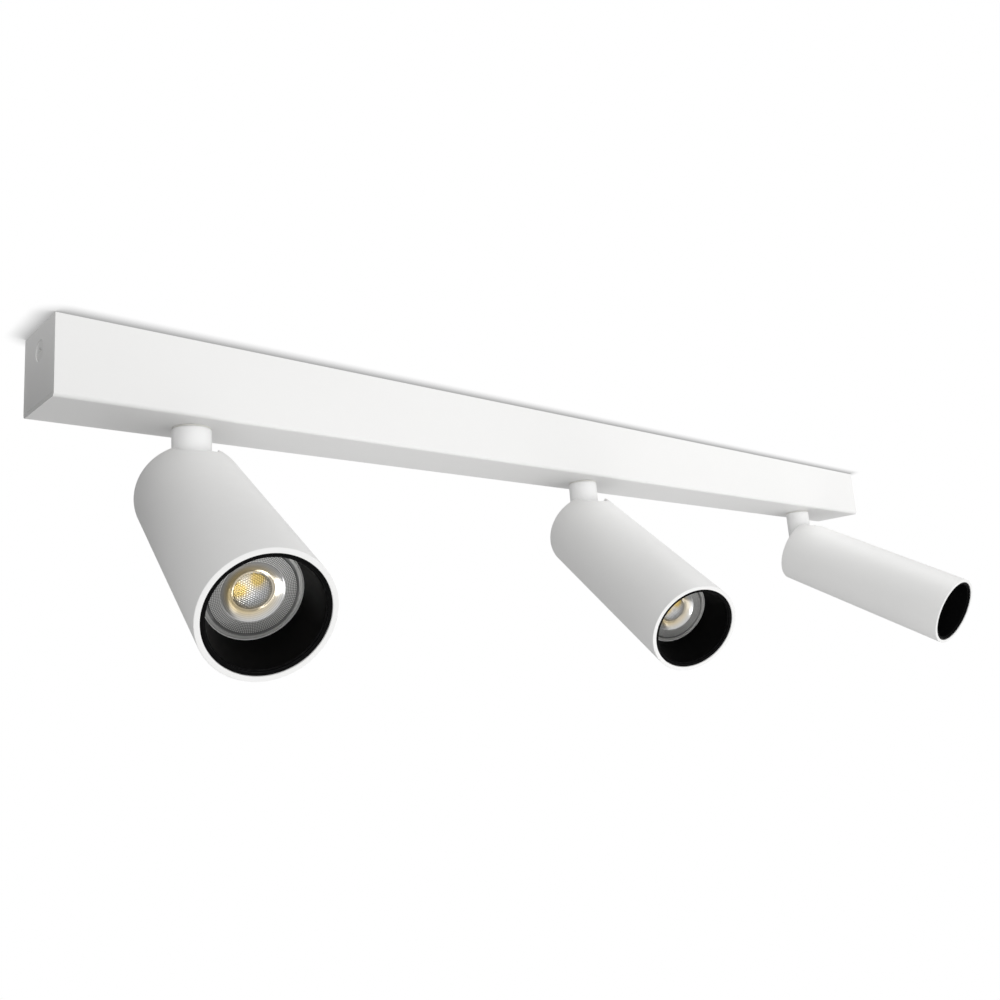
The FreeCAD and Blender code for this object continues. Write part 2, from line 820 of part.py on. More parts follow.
def make_rear_cap(number):
    """The plug in the tube's rear end: slotted plate, spigot and two ears for the pivot screws."""
    body = new_body(f"rear_cap_{number}", tilt_frame(number))
    outer = BORE - D.slip
    plate_low, spigot_low = D.pivot_depth - D.rear_plate, D.pivot_depth - D.spigot_depth
    inner = outer - D.spigot_wall
    turn(body, [(0, plate_low), (inner, plate_low), (inner, spigot_low), (outer, spigot_low),
                (outer, D.pivot_depth), (0, D.pivot_depth)])
    slot = new_sketch(body, "XY")
    draw_box(slot, -D.notch_radius, D.tube_radius, -D.notch_radius, D.notch_radius)
    cut_through(body, slot)
    ears = new_sketch(body, "XY", D.pivot_depth - D.ear_depth)
    for side in (-1, 1):
        draw_box(ears, -D.ear_half, D.ear_half, D.ear_near * side, D.ear_far * side)
    pad(body, ears, D.ear_depth)
    threads = new_sketch(body, "XZ")
    draw_circle(threads, 0, 0, D.pivot_thread + D.thread_play)
    pocket(body, threads, D.ear_far * 2 + 1, both_ways=True)
    return body


def make_pivot_screw(label, frame):
    """A dog-point set screw along +Z: its point is at the origin end."""
    level = D.ear_near - D.pivot_inner
    point = cylinder(f"{label}_point", D.pivot_point, level + 1, at())
    length = D.ear_far - D.ear_near - D.pivot_sunk
    thread = cylinder(f"{label}_thread", D.pivot_thread, length, at(z=level))
    solid = fused(f"{label}_solid", point, thread)
    depth = D.pivot_socket_depth
    end = level + length - depth
    socket = hexagon(f"{label}_socket", D.pivot_socket_flats, depth + 1, at(z=end))
    screw = minus(label, solid, socket)
    screw.Placement = frame
    return screw


def make_pivot_screws(number):
    """Two set screws whose points are the pins that the head tilts on."""
    screws = []
    for side, name in ((-1, "left"), (1, "right")):
        rotation = Rotation(Vector(0, 0, 1), Vector(0, side, 0))
        frame = at(0, D.pivot_inner * side, 0, rotation)
        screws.append(make_pivot_screw(f"pivot_screw_{number}_{name}", frame))
    return group(f"pivot_screws_{number}", screws, tilt_frame(number))


def make_friction_washers(number):
    """A washer on each pivot screw, between the fork and the ear."""
    washers = []
    for side, name in ((-1, "left"), (1, "right")):
        label = f"friction_washer_{number}_{name}"
        rotation = Rotation(Vector(0, 0, 1), Vector(0, side, 0))
        disc = cylinder(f"{label}_disc", D.friction_radius, D.friction_sheet, at())
        bore = cylinder(f"{label}_bore", D.pivot_point + D.slip, as_size(2), at(z=-1))
        washer = minus(label, disc, bore)
        washer.Placement = at(0, (D.fork_flat + D.slip) * side, 0, rotation)
        washers.append(washer)
    return group(f"friction_washers_{number}", washers, tilt_frame(number))


def make_holder_plate(number):
    """The pressed cup that spans the tube and carries the lamp holder."""
    body = new_body(f"holder_plate_{number}", tilt_frame(number))
    level = from_front(D.holder_depth + D.holder_height)
    outer = BORE - D.slip
    inner = outer - D.plate_sheet
    turn(body, [(0, level), (outer, level), (outer, level + D.plate_rim),
                (inner, level + D.plate_rim), (inner, level + D.plate_sheet),
                (0, level + D.plate_sheet)])
    holes = new_sketch(body, "XY")
    hole = D.holder_screw_radius + D.holder_screw_play
    draw_circle(holes, 0, 0, D.neck_bore)
    for side in (-1, 1):
        draw_circle(holes, 0, D.holder_screw_orbit * side, hole)
    cut_through(body, holes)
    return body


def make_holder_screws(number):
    """The two round-headed screws that hold the lamp holder to its plate."""
    level = from_front(D.holder_depth + D.holder_height) + D.plate_sheet
    screws = []
    for side, name in ((-1, "left"), (1, "right")):
        label = f"holder_screw_{number}_{name}"
        cap = cylinder(f"{label}_cap", D.holder_screw_cap, D.holder_screw_cap_height, at())
        length = D.holder_screw_length
        radius = D.holder_screw_radius - D.thread_play
        shank = cylinder(f"{label}_shank", radius, length + 1, at(z=-length))
        screw = fused(label, cap, shank)
        screw.Placement = at(0, D.holder_screw_orbit * side, level + D.thread_play)
        screws.append(screw)
    return group(f"holder_screws_{number}", screws, tilt_frame(number))


def make_lamp_holder(number):
    """The ceramic twist-lock holder: two keyholes for the lamp's pins, screw holes, lead hole."""
    body = new_body(f"lamp_holder_{number}", tilt_frame(number))
    base = from_front(D.holder_depth)
    top = base + D.holder_height
    disc = new_sketch(body, "XY", base)
    draw_circle(disc, 0, 0, D.holder_radius)
    pad(body, disc, D.holder_height - D.slip)
    keyholes = new_sketch(body, "XY", base)
    for side in (-1, 1):
        draw_circle(keyholes, D.pin_orbit * side, 0, D.pin_head + D.keyhole_play)
    pocket(body, keyholes, D.pin_length + 1, reverse=True)
    rear = new_sketch(body, "XY", top)
    draw_circle(rear, 0, 0, D.neck_bore)
    pocket(body, rear, D.holder_lead_hole)
    screw_holes = new_sketch(body, "XY", top)
    for side in (-1, 1):
        draw_circle(screw_holes, 0, D.holder_screw_orbit * side, D.holder_screw_radius)
    pocket(body, screw_holes, D.holder_screw_length)
    return body


def make_lamp_body(number):
    """The lamp's finned body: a cup that flares from the pin base to the front rim."""
    body = new_body(f"lamp_body_{number}", tilt_frame(number))
    front = from_front(D.lamp_depth)
    base = from_front(D.holder_depth) - D.lamp_gap
    neck_low = base - D.lamp_base_height
    waist = neck_low - D.lamp_base_flare
    belt = front + D.lamp_belt
    seat = front + D.lens_sheet + D.slip
    cavity = front + D.chip_floor
    turn(body, [
        (0, base), (D.lamp_base_radius, base), (D.lamp_base_radius, neck_low),
        (D.lamp_waist_radius, waist), (D.lamp_radius, belt),
        (D.lamp_radius, front), (D.lens_radius + D.slip, front),
        (D.lens_radius + D.slip, seat), (D.lens_radius - D.lens_seat, seat),
        (D.lens_radius / 2, cavity), (0, cavity)])
    sockets = new_sketch(body, "XY", base)
    for side in (-1, 1):
        draw_circle(sockets, D.pin_orbit * side, 0, D.pin_radius)
    pocket(body, sockets, D.pin_root)
    fins = new_sketch(body, "XZ")
    outside = D.fin_depth + 1
    draw_outline(fins, [
        (D.lamp_waist_radius - D.fin_depth, waist - 1), (D.lamp_waist_radius + outside, waist - 1),
        (D.lamp_radius + outside, belt + 1), (D.lamp_radius - D.fin_depth, belt + 1)])
    groove = pocket(body, fins, D.fin_width, both_ways=True)
    ring = body.newObject("PartDesign::PolarPattern", f"{body.Name}_fins")
    ring.Originals = [groove]
    ring.Axis = (fins, ["V_Axis"])
    ring.Angle = 360
    ring.Occurrences = FIN_COUNT
    body.Tip = ring
    return body


def make_lamp_pins(number):
    """The lamp's two mushroom-headed contact pins."""
    foot = from_front(D.holder_depth) - D.lamp_gap
    pins = []
    for side, name in ((-1, "left"), (1, "right")):
        label = f"lamp_pin_{number}_{name}"
        stem = cylinder(f"{label}_stem", D.pin_radius, D.pin_root + D.pin_length, at(z=-D.pin_root))
        height = D.pin_head_height
        knob = cylinder(f"{label}_knob", D.pin_head, height, at(z=D.pin_length - height))
        pin = fused(label, stem, knob)
        pin.Placement = at(D.pin_orbit * side, 0, foot)
        pins.append(pin)
    return group(f"lamp_pins_{number}", pins, tilt_frame(number))


def make_lamp_lens(number):
    """The clear lens: flat outer ring with a fine groove, sunken bowl and a low dome in it."""
    body = new_body(f"lamp_lens_{number}", tilt_frame(number))
    front = from_front(D.lamp_depth)
    rim = D.lens_radius
    groove, slope = D.lens_groove, D.lens_groove_slope
    ring_out, ring_in = rim - D.lens_rim, rim - D.lens_rim - groove - slope * 2
    rise = D.lens_bowl_depth - D.lens_dome_depth
    dome = []
    for step in range(DOME_STEPS):
        turned = math.radians(90 * step / DOME_STEPS)
        depth = D.lens_bowl_depth - rise * math.cos(turned)
        dome.append((D.lens_dome * math.sin(turned), front + depth))
    turn(body, dome + [
        (D.lens_bowl_floor, front + D.lens_bowl_depth), (D.lens_bowl, front), (ring_in, front),
        (ring_in + slope, front + groove), (ring_out - slope, front + groove), (ring_out, front),
        (rim, front), (rim, front + D.lens_sheet), (rim - D.lens_sheet, front + D.lens_sheet),
        (D.optic_radius, front + D.optic_depth), (D.optic_lip, front + D.optic_depth),
        (D.optic_lip, front + D.optic_hollow), (0, front + D.optic_hollow)])
    return body


def make_baffle(number):
    """The black anti-glare cone with a lip, a step, an outer skirt and a flange at its throat."""
    body = new_body(f"baffle_{number}", tilt_frame(number))
    outer = BORE - D.tube_clearance
    lip, step = from_front(D.baffle_inset), from_front(D.baffle_inset + D.baffle_lip_depth)
    skirt = from_front(D.baffle_skirt)
    throat = from_front(D.lamp_depth - D.lamp_gap)
    flange = from_front(D.lamp_depth - D.lamp_gap - D.baffle_sheet)
    inner = outer - D.baffle_sheet
    cone = D.baffle_throat + D.baffle_sheet
    seat = D.lamp_radius - D.tube_clearance * 2
    turn(body, [
        (D.baffle_lip, lip), (outer, lip), (outer, skirt), (inner, skirt),
        (inner, step + D.baffle_fold), (cone, flange), (seat, flange), (seat, throat),
        (D.baffle_throat, throat), (D.baffle_step, step), (D.baffle_lip, step)])
    return body


def make_head_lead(number):
    """The lead along the tube from just past the fork into the lamp holder."""
    high = -D.lead_below_pivot
    low = from_front(D.holder_depth + D.holder_height) - 4.5
    lead = cylinder(f"head_lead_{number}", D.lead_radius, high - low, at())
    lead.Placement = tilt_frame(number) * at(z=low)
    return lead


# ---------------------------------------------------------------- build, check and write

def build_bar():
    """Every piece of the bar."""
    pieces = [make_canopy_channel(), make_mounting_strip(), make_cable_bush()]
    pieces.append(make_end_cap("right_end_cap", at(HALF_BAR)))
    pieces.append(make_end_cap("left_end_cap", at(-HALF_BAR, rotation=TURN_HALF)))
    screws = []
    for side, name in ((1, "right"), (-1, "left")):
        rotation = Rotation(Vector(0, 0, 1), Vector(side, 0, 0))
        frame = at((HALF_BAR - D.end_screw_recess) * side, 0, -D.end_screw_drop, rotation)
        screws.append(make_end_screw(f"end_screw_{name}", frame))
    pieces.append(group("end_screws", screws))
    pieces += [make_terminal_block(), make_terminal_screws(), make_earth_terminal()]
    pieces += [make_bar_leads(), make_stop_pins()]
    return pieces


def build_head(number):
    """Every piece of one neck and its head."""
    makers = (
        make_neck_washer, make_neck, make_stop_washer, make_lock_nut,
        make_tube_housing, make_rear_cap, make_pivot_screws, make_friction_washers,
        make_holder_plate, make_holder_screws, make_lamp_holder, make_lamp_body,
        make_lamp_pins, make_lamp_lens, make_baffle, make_head_lead)
    return [make(number) for make in makers]


def check(pieces):
    """Stop if any object failed to compute or any sub-part has no valid shape."""
    for item in doc.Objects:
        if "Invalid" in item.State or "Error" in item.State:
            raise RuntimeError(f"{item.Label} failed: {item.State}")
    for piece in pieces:
        if piece.Shape.isNull() or not piece.Shape.isValid():
            raise RuntimeError(f"{piece.Label} has no valid shape")
        if not piece.Shape.Solids:
            raise RuntimeError(f"{piece.Label} holds no solid")


def write(pieces):
    """One STEP file for each sub-part, named by its label."""
    os.makedirs("parts", exist_ok=True)
    for piece in pieces:
        piece.Shape.exportStep(f"parts/{piece.Label}.step")
        solids = len(piece.Shape.Solids)
        print(f"{piece.Label}: {solids} solid(s), {piece.Shape.Volume:.1f} cubic millimetres")


pieces = build_bar()
for head in HEADS:
    pieces += build_head(head)
doc.recompute()
check(pieces)
write(pieces)
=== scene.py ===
# %% [markdown]
# # A ceiling spotlight bar, finished in Blender
# The object is a white powder-coated bar on the ceiling with three tubular spot heads. Its CAD
# model already has the right sizes and joints, so this lesson starts by loading it as a frame,
# and everything made here sits on that frame. The box of the CAD model is kept straight away;
# the stage and the dark card are placed by it.

# %% Load the frame
import json
import math

import bpy
from mathutils import Matrix, Vector


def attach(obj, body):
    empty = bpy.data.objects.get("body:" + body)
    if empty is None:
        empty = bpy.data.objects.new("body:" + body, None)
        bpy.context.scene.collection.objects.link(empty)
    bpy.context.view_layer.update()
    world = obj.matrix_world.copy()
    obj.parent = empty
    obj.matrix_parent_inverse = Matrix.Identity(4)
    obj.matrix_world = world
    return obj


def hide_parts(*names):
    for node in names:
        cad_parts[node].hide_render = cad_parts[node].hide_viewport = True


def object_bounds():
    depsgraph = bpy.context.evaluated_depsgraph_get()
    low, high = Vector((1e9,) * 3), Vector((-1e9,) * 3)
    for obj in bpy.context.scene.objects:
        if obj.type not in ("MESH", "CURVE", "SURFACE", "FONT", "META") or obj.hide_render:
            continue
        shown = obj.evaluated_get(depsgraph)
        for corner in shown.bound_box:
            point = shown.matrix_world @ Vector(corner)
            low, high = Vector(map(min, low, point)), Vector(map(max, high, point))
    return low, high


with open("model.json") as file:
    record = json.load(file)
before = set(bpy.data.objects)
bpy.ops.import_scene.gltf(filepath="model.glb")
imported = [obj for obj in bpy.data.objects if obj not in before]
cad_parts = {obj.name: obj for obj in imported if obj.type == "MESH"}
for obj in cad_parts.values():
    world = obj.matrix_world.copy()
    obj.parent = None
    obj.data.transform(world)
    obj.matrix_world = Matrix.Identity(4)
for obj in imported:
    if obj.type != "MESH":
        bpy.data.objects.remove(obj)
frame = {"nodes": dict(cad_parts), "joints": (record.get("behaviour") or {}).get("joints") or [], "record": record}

MM = 0.001
HEADS = (1, 2, 3)
cad_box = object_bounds()
print("CAD box", [[round(value, 4) for value in corner] for corner in cad_box])

# %% [markdown]
# ## Where each head points
# A head turns about its neck and tilts about a pivot, so each has a frame of its own: the origin
# is on the tilt pivot, Z runs along the tube towards its rear end, and X points at the notch that
# the neck swings into. The joints of the CAD model say where that frame is. Measuring a part in
# this frame gives plain numbers, such as a tube's radius, whichever way the head points. A truly
# round tube bulges past the flat facets of a measured one, so it is made a hair smaller.

# %% Frames of the heads
joints = {joint["name"]: joint for joint in frame["joints"]}


def head_place(number):
    """The matrix of a head's own frame at rest."""
    tilt = joints[f"tilt_{number}"]
    across = Vector(tilt["axis"])
    heading = math.atan2(across.x, -across.y)
    raised = math.radians(-tilt["range_deg"][0])
    pivot = Matrix.Translation(Vector(tilt["pos_m"]))
    return pivot @ Matrix.Rotation(heading, 4, "Z") @ Matrix.Rotation(-raised, 4, "Y")


def neck_place(number):
    """The matrix of a neck's frame: on the bar's underside, Z up, X the way the head points."""
    tilt, pan = joints[f"tilt_{number}"], joints[f"pan_{number}"]
    across = Vector(tilt["axis"])
    heading = math.atan2(across.x, -across.y)
    return Matrix.Translation(Vector(pan["pos_m"])) @ Matrix.Rotation(heading, 4, "Z")


def measured(node, place):
    """Lowest and highest Z, least and greatest radius of a CAD node in a frame."""
    inverse = place.inverted()
    spots = [inverse @ vertex.co for vertex in frame["nodes"][node].data.vertices]
    radii = [math.hypot(spot.x, spot.y) for spot in spots]
    heights = [spot.z for spot in spots]
    return min(heights), max(heights), min(radii), max(radii)


print("head 1 pivots at", [round(value, 4) for value in head_place(1).translation])

# %% Measures of a head
HAIR = 0.05 * MM
TUBE_FRONT, TUBE_REAR, BORE, TUBE_RADIUS = measured("tube_housing_1", head_place(1))
BAFFLE_FRONT, BAFFLE_BACK, THROAT, BAFFLE_RADIUS = measured("baffle_1", head_place(1))
LENS_FRONT, LENS_BACK, _, LENS_RADIUS = measured("lamp_lens_1", head_place(1))
NECK_RADIUS = measured("neck_1", neck_place(1))[3]
TUBE_FRONT += HAIR
TUBE_RADIUS -= HAIR
print("tube", round(TUBE_FRONT / MM, 2), round(TUBE_REAR / MM, 2), round(TUBE_RADIUS / MM, 2))
print("baffle", round(BAFFLE_FRONT / MM, 2), round(THROAT / MM, 2), round(BAFFLE_RADIUS / MM, 2))
print("lens", round(LENS_FRONT / MM, 2), round(LENS_BACK / MM, 2), round(LENS_RADIUS / MM, 2))

# %% [markdown]
# ## The camera
# The camera hangs a little below the bar and looks up along it from the left, so the bar runs
# away to the right. It is made before any piece, because the framing decides how much detail each
# piece deserves. The picture is square, so one focal length fixes the view, with no shift.

# %% Camera
CAMERA_SPOT = Vector((-0.511784, -0.451203, -0.184416))
CAMERA_HEADING = math.radians(-43.4653)
CAMERA_PITCH = math.radians(90 + 11.3395)
CAMERA_ROLL = math.radians(-4.259)
FOCAL_LENGTH = 34.19
SENSOR = 36
NEAREST_SEEN = 0.01

view = bpy.data.cameras.new("camera")
view.lens = FOCAL_LENGTH
view.sensor_width = SENSOR
view.clip_start = NEAREST_SEEN
camera = bpy.data.objects.new("camera", view)
turned = Matrix.Rotation(CAMERA_HEADING, 4, "Z") @ Matrix.Rotation(CAMERA_PITCH, 4, "X")
camera.matrix_world = (
    Matrix.Translation(CAMERA_SPOT) @ turned @ Matrix.Rotation(CAMERA_ROLL, 4, "Z"))
bpy.context.scene.collection.objects.link(camera)
bpy.context.scene.camera = camera
bpy.context.scene.view_settings.view_transform = "Standard"
print("camera at", [round(value, 3) for value in camera.location])

# %% [markdown]
# ## Small makers for meshes
# Most pieces here are turned or pressed, so a grid of points wrapped round an axis makes them:
# each row of the grid is one circle, and rows sit close together where a shape is detailed. A
# row of one point closes a shape on its axis. A closed grid has no loose edges. Smooth shading is
# kept only where neighbouring faces are nearly level, so that real corners stay crisp.

# %% Mesh makers
SHARP_ANGLE = math.radians(35)


def new_piece(name, points, faces, material, body, place=Matrix()):
    """A mesh object made from points in a local frame, riding on a body."""
    mesh = bpy.data.meshes.new(name)
    mesh.from_pydata([place @ Vector(point) for point in points], [], faces)
    mesh.validate()
    mesh.shade_smooth()
    mesh.set_sharp_from_angle(angle=SHARP_ANGLE)
    mesh.materials.append(material)
    piece = bpy.data.objects.new(name, mesh)
    bpy.context.scene.collection.objects.link(piece)
    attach(piece, body)
    return piece


print("edges sharper than", round(math.degrees(SHARP_ANGLE)), "degrees stay sharp")


# %% Rows wrapped round an axis
def wrap_rows(rows):
    """Points and faces of rows wrapped round an axis, the last row joined to the first."""
    columns = max(len(row) for row in rows)
    points, faces, starts = [], [], []
    for row in rows:
        starts.append(len(points))
        points += row
    for index, row in enumerate(rows):
        after = (index + 1) % len(rows)
        for turn in range(columns):
            here = [starts[index] + spot % len(row) for spot in (turn, (turn + 1) % columns)]
            there = [starts[after] + spot % len(rows[after])
                     for spot in (turn, (turn + 1) % columns)]
            corners = list(dict.fromkeys((here[0], there[0], there[1], here[1])))
            if len(corners) > 2:
                faces.append(corners)
    return points, faces


def around(radius, height, columns):
    """One row: a circle about Z, or a single point where it lies on the axis."""
    if not radius:
        return [(0.0, 0.0, height)]
    step = 2 * math.pi / columns
    return [(radius * math.cos(step * turn), radius * math.sin(step * turn), height)
            for turn in range(columns)]


def lathe(profile, columns):
    """Points and faces of a closed profile of (radius, height) turned about Z."""
    return wrap_rows([around(radius, height, columns) for radius, height in profile])


print("a turned triangle has", len(lathe([(1, 0), (2, 0), (1, 1)], 12)[1]), "faces")


# %% Rounded profiles
def rounded(corners, steps=4):
    """A profile whose corners of (radius, height, rounding) are rounded by soft arcs."""
    profile = []
    for index, (radius, height, rounding) in enumerate(corners):
        corner = Vector((radius, height))
        if not rounding:
            profile.append((radius, height))
            continue
        before = Vector(corners[index - 1][:2]) - corner
        after = Vector(corners[(index + 1) % len(corners)][:2]) - corner
        start = corner + before.normalized() * rounding
        end = corner + after.normalized() * rounding
        for step in range(steps + 1):
            share = step / steps
            spot = start * (1 - share) ** 2 + corner * 2 * share * (1 - share) + end * share ** 2
            profile.append((spot.x, spot.y))
    return profile


print("a rounded square has", len(rounded([(1, 0, 0.1), (2, 0, 0.1), (2, 1, 0.1), (1, 1, 0.1)])),
      "points")

# %% [markdown]
# ## Effects that several finishes share
# A shader node group is a small tool: it is built once, its inputs are named, and each finish
# sets its own values. Three are enough here. "Fine grain" gives the faint orange-peel relief and
# the slight change of gloss that every coated or moulded surface has. "Edge mask" finds the
# corners, where a coat is thin and bare metal rubs bright; on the black cone it places a painted
# highlight. "Settled dust" finds the faces that look up, where dust lies.


# %% Node group tools
def new_group(name, inputs, outputs):
    """An empty shader node group with named float inputs, their values, and float outputs."""
    group = bpy.data.node_groups.new(name, "ShaderNodeTree")
    for label, value in inputs.items():
        socket = group.interface.new_socket(label, in_out="INPUT", socket_type="NodeSocketFloat")
        socket.default_value = value
    for label in outputs:
        group.interface.new_socket(label, in_out="OUTPUT", socket_type="NodeSocketFloat")
    return group, group.nodes.new("NodeGroupInput"), group.nodes.new("NodeGroupOutput")


def add_node(tree, kind, values=None, **settings):
    """A node with its settings and with values on its named input sockets."""
    node = tree.nodes.new(kind)
    for name, value in settings.items():
        setattr(node, name, value)
    for name, value in (values or {}).items():
        node.inputs[name].default_value = value
    return node


def math_node(tree, operation, first, second):
    """A math node on two numbers or sockets."""
    node = tree.nodes.new("ShaderNodeMath")
    node.operation = operation
    for socket, value in zip(node.inputs, (first, second)):
        if isinstance(value, (int, float)):
            socket.default_value = value
        else:
            tree.links.new(value, socket)
    return node.outputs[0]


def ranged(tree, value, low, high, to_low, to_high):
    """A value moved from one range to another and kept inside it."""
    node = tree.nodes.new("ShaderNodeMapRange")
    tree.links.new(value, node.inputs["Value"])
    for name, number in (("From Min", low), ("From Max", high),
                         ("To Min", to_low), ("To Max", to_high)):
        if isinstance(number, (int, float)):
            node.inputs[name].default_value = number
        else:
            tree.links.new(number, node.inputs[name])
    return node.outputs["Result"]


print("groups so far:", len(bpy.data.node_groups))

# %% Fine grain
DRIFT_PER_METRE = 22.0


def build_fine_grain():
    """Relief of two sizes of soft bumps, and a gloss and a tone that drift over the surface."""
    group, given, result = new_group(
        "fine grain",
        {"Grain Per Metre": 1500, "Gloss Middle": 0.4, "Gloss Spread": 0.05, "Tone Spread": 0.02},
        ("Relief", "Gloss", "Tone"))
    spot = add_node(group, "ShaderNodeTexCoord")
    small = add_node(group, "ShaderNodeTexNoise", {"Detail": 2.0, "Roughness": 0.6})
    large = add_node(group, "ShaderNodeTexNoise", {"Scale": DRIFT_PER_METRE, "Detail": 3.0})
    for texture in (small, large):
        group.links.new(spot.outputs["Object"], texture.inputs["Vector"])
    group.links.new(given.outputs["Grain Per Metre"], small.inputs["Scale"])
    drift = math_node(group, "SUBTRACT", large.outputs[0], 0.5)
    fleck = math_node(group, "SUBTRACT", small.outputs[0], 0.5)
    both = math_node(group, "ADD", drift, fleck)
    spread = math_node(group, "MULTIPLY", both, given.outputs["Gloss Spread"])
    gloss = math_node(group, "ADD", spread, given.outputs["Gloss Middle"])
    shade = math_node(group, "MULTIPLY", drift, given.outputs["Tone Spread"])
    tone = math_node(group, "ADD", shade, 1.0)
    for value, label in ((small.outputs[0], "Relief"), (gloss, "Gloss"), (tone, "Tone")):
        group.links.new(value, result.inputs[label])
    return group


FINE_GRAIN = build_fine_grain()
print("group", FINE_GRAIN.name)

# %% Edge mask
LEVEL_AGREEMENT, CORNER_AGREEMENT = 0.995, 0.9
SPECKLES_PER_METRE = 700.0
SPECKLE_FULL = 0.75


def build_edge_mask():
    """White on corners, where a rounded copy of the surface turns away from the true one."""
    group, given, result = new_group("edge mask", {"Width": 0.0006, "Breakup": 0.5}, ("Mask",))
    true_normal = add_node(group, "ShaderNodeNewGeometry")
    soft_normal = add_node(group, "ShaderNodeBevel", samples=4)
    group.links.new(given.outputs["Width"], soft_normal.inputs["Radius"])
    agree = add_node(group, "ShaderNodeVectorMath", operation="DOT_PRODUCT")
    group.links.new(true_normal.outputs["Normal"], agree.inputs[0])
    group.links.new(soft_normal.outputs["Normal"], agree.inputs[1])
    turned_away = ranged(
        group, agree.outputs["Value"], LEVEL_AGREEMENT, CORNER_AGREEMENT, 0.0, 1.0)
    speckle = add_node(group, "ShaderNodeTexNoise", {"Scale": SPECKLES_PER_METRE, "Detail": 4.0})
    spot = add_node(group, "ShaderNodeTexCoord")
    group.links.new(spot.outputs["Object"], speckle.inputs["Vector"])
    kept = ranged(
        group, speckle.outputs[0], given.outputs["Breakup"], SPECKLE_FULL, 0.0, 1.0)
    group.links.new(math_node(group, "MULTIPLY", turned_away, kept), result.inputs["Mask"])
    return group


EDGE_MASK = build_edge_mask()
print("group", EDGE_MASK.name)

# %% Settled dust
STEEP_FACE, LEVEL_FACE = 0.2, 0.95
PATCHES_PER_METRE = 160.0
THIN_DUST = 0.25


def build_settled_dust():
    """White where a face looks up and the dust has settled, in soft uneven patches."""
    group, given, result = new_group("settled dust", {"Amount": 0.2}, ("Mask",))
    surface = add_node(group, "ShaderNodeNewGeometry")
    parts = add_node(group, "ShaderNodeSeparateXYZ")
    group.links.new(surface.outputs["Normal"], parts.inputs[0])
    upward = ranged(group, parts.outputs["Z"], STEEP_FACE, LEVEL_FACE, 0.0, 1.0)
    patches = add_node(group, "ShaderNodeTexNoise", {"Scale": PATCHES_PER_METRE, "Detail": 5.0})
    group.links.new(surface.outputs["Position"], patches.inputs["Vector"])
    lying = ranged(group, patches.outputs[0], 0.4, 0.7, THIN_DUST, 1.0)
    amount = math_node(group, "MULTIPLY", upward, given.outputs["Amount"])
    group.links.new(math_node(group, "MULTIPLY", amount, lying), result.inputs["Mask"])
    return group


SETTLED_DUST = build_settled_dust()
print("group", SETTLED_DUST.name)

# %% [markdown]
# ## A finish from these effects
# Every opaque finish on the object is the same recipe with other numbers: a colour that drifts a
# little, a gloss that drifts with it, a relief so fine that only the highlights show it, a second
# colour on corners and a veil of dust. The corner colour is wear on rubbed corners, and a painted
# highlight on the black cone. One helper lays out the recipe, and each finish below is a short
# cell that says what the real surface is.

# %% The finish helper
DUST_COLOUR = (0.62, 0.60, 0.57)


def place_group(tree, group, values):
    """A node group placed in a material, with its inputs set."""
    node = tree.nodes.new("ShaderNodeGroup")
    node.node_tree = group
    for name, value in values.items():
        node.inputs[name].default_value = value
    return node


def mixed(tree, share, first, second):
    """A colour mix by a mask: each side is a plain colour or a socket."""
    node = add_node(tree, "ShaderNodeMix", data_type="RGBA")
    tree.links.new(share, node.inputs["Factor"])
    for socket, value in zip((node.inputs[6], node.inputs[7]), (first, second)):
        if isinstance(value, tuple):
            socket.default_value = (*value, 1.0)
        else:
            tree.links.new(value, socket)
    return node.outputs[2]


def new_material(name):
    """A material with an empty Principled surface."""
    material = bpy.data.materials.new(name)
    material.use_nodes = True
    return material, material.node_tree, material.node_tree.nodes["Principled BSDF"]


print("dust is", DUST_COLOUR)


# %% The recipe of a finish
def finish(name, colour, gloss, metallic=0.0, grain=1500.0, relief=0.02, relief_depth=0.00005,
           gloss_spread=0.06, tone_spread=0.03, edge_colour=None, edge_width=0.0006,
           breakup=0.5, dust=0.15, specular=0.5):
    """An opaque finish: drifting tone and gloss, fine relief, a corner colour, and dust."""
    material, tree, shader = new_material(name)
    shader.inputs["Metallic"].default_value = metallic
    shader.inputs["Specular IOR Level"].default_value = specular
    surface = place_group(tree, FINE_GRAIN, {
        "Grain Per Metre": grain, "Gloss Middle": gloss,
        "Gloss Spread": gloss_spread, "Tone Spread": tone_spread})
    tinted = add_node(tree, "ShaderNodeVectorMath", operation="SCALE")
    tinted.inputs[0].default_value = colour
    tree.links.new(surface.outputs["Tone"], tinted.inputs["Scale"])
    paint = tinted.outputs[0]
    if edge_colour:
        corners = place_group(tree, EDGE_MASK, {"Width": edge_width, "Breakup": breakup})
        paint = mixed(tree, corners.outputs["Mask"], paint, edge_colour)
    fallen = place_group(tree, SETTLED_DUST, {"Amount": dust})
    tree.links.new(mixed(tree, fallen.outputs["Mask"], paint, DUST_COLOUR),
                   shader.inputs["Base Color"])
    tree.links.new(surface.outputs["Gloss"], shader.inputs["Roughness"])
    bumps = add_node(tree, "ShaderNodeBump", {"Strength": relief, "Distance": relief_depth})
    tree.links.new(surface.outputs["Relief"], bumps.inputs["Height"])
    tree.links.new(bumps.outputs["Normal"], shader.inputs["Normal"])
    print("finish", name)
    return material

# %% [markdown]
# ## White powder coat
# The bar, caps, necks and tubes are aluminium with a fine satin powder coat. Baked powder flows
# into a very shallow orange peel, so its relief has about one bump per millimetre and it is
# barely there. Corners are a touch lighter, because the coat draws thin on them.

# %% Powder coat
WHITE_COAT = finish(
    "white_powder_coat", (0.86, 0.858, 0.85), 0.46, grain=1100.0, relief=0.25,
    relief_depth=0.00006, gloss_spread=0.05, tone_spread=0.02,
    edge_colour=(0.9, 0.898, 0.892), dust=0.05)
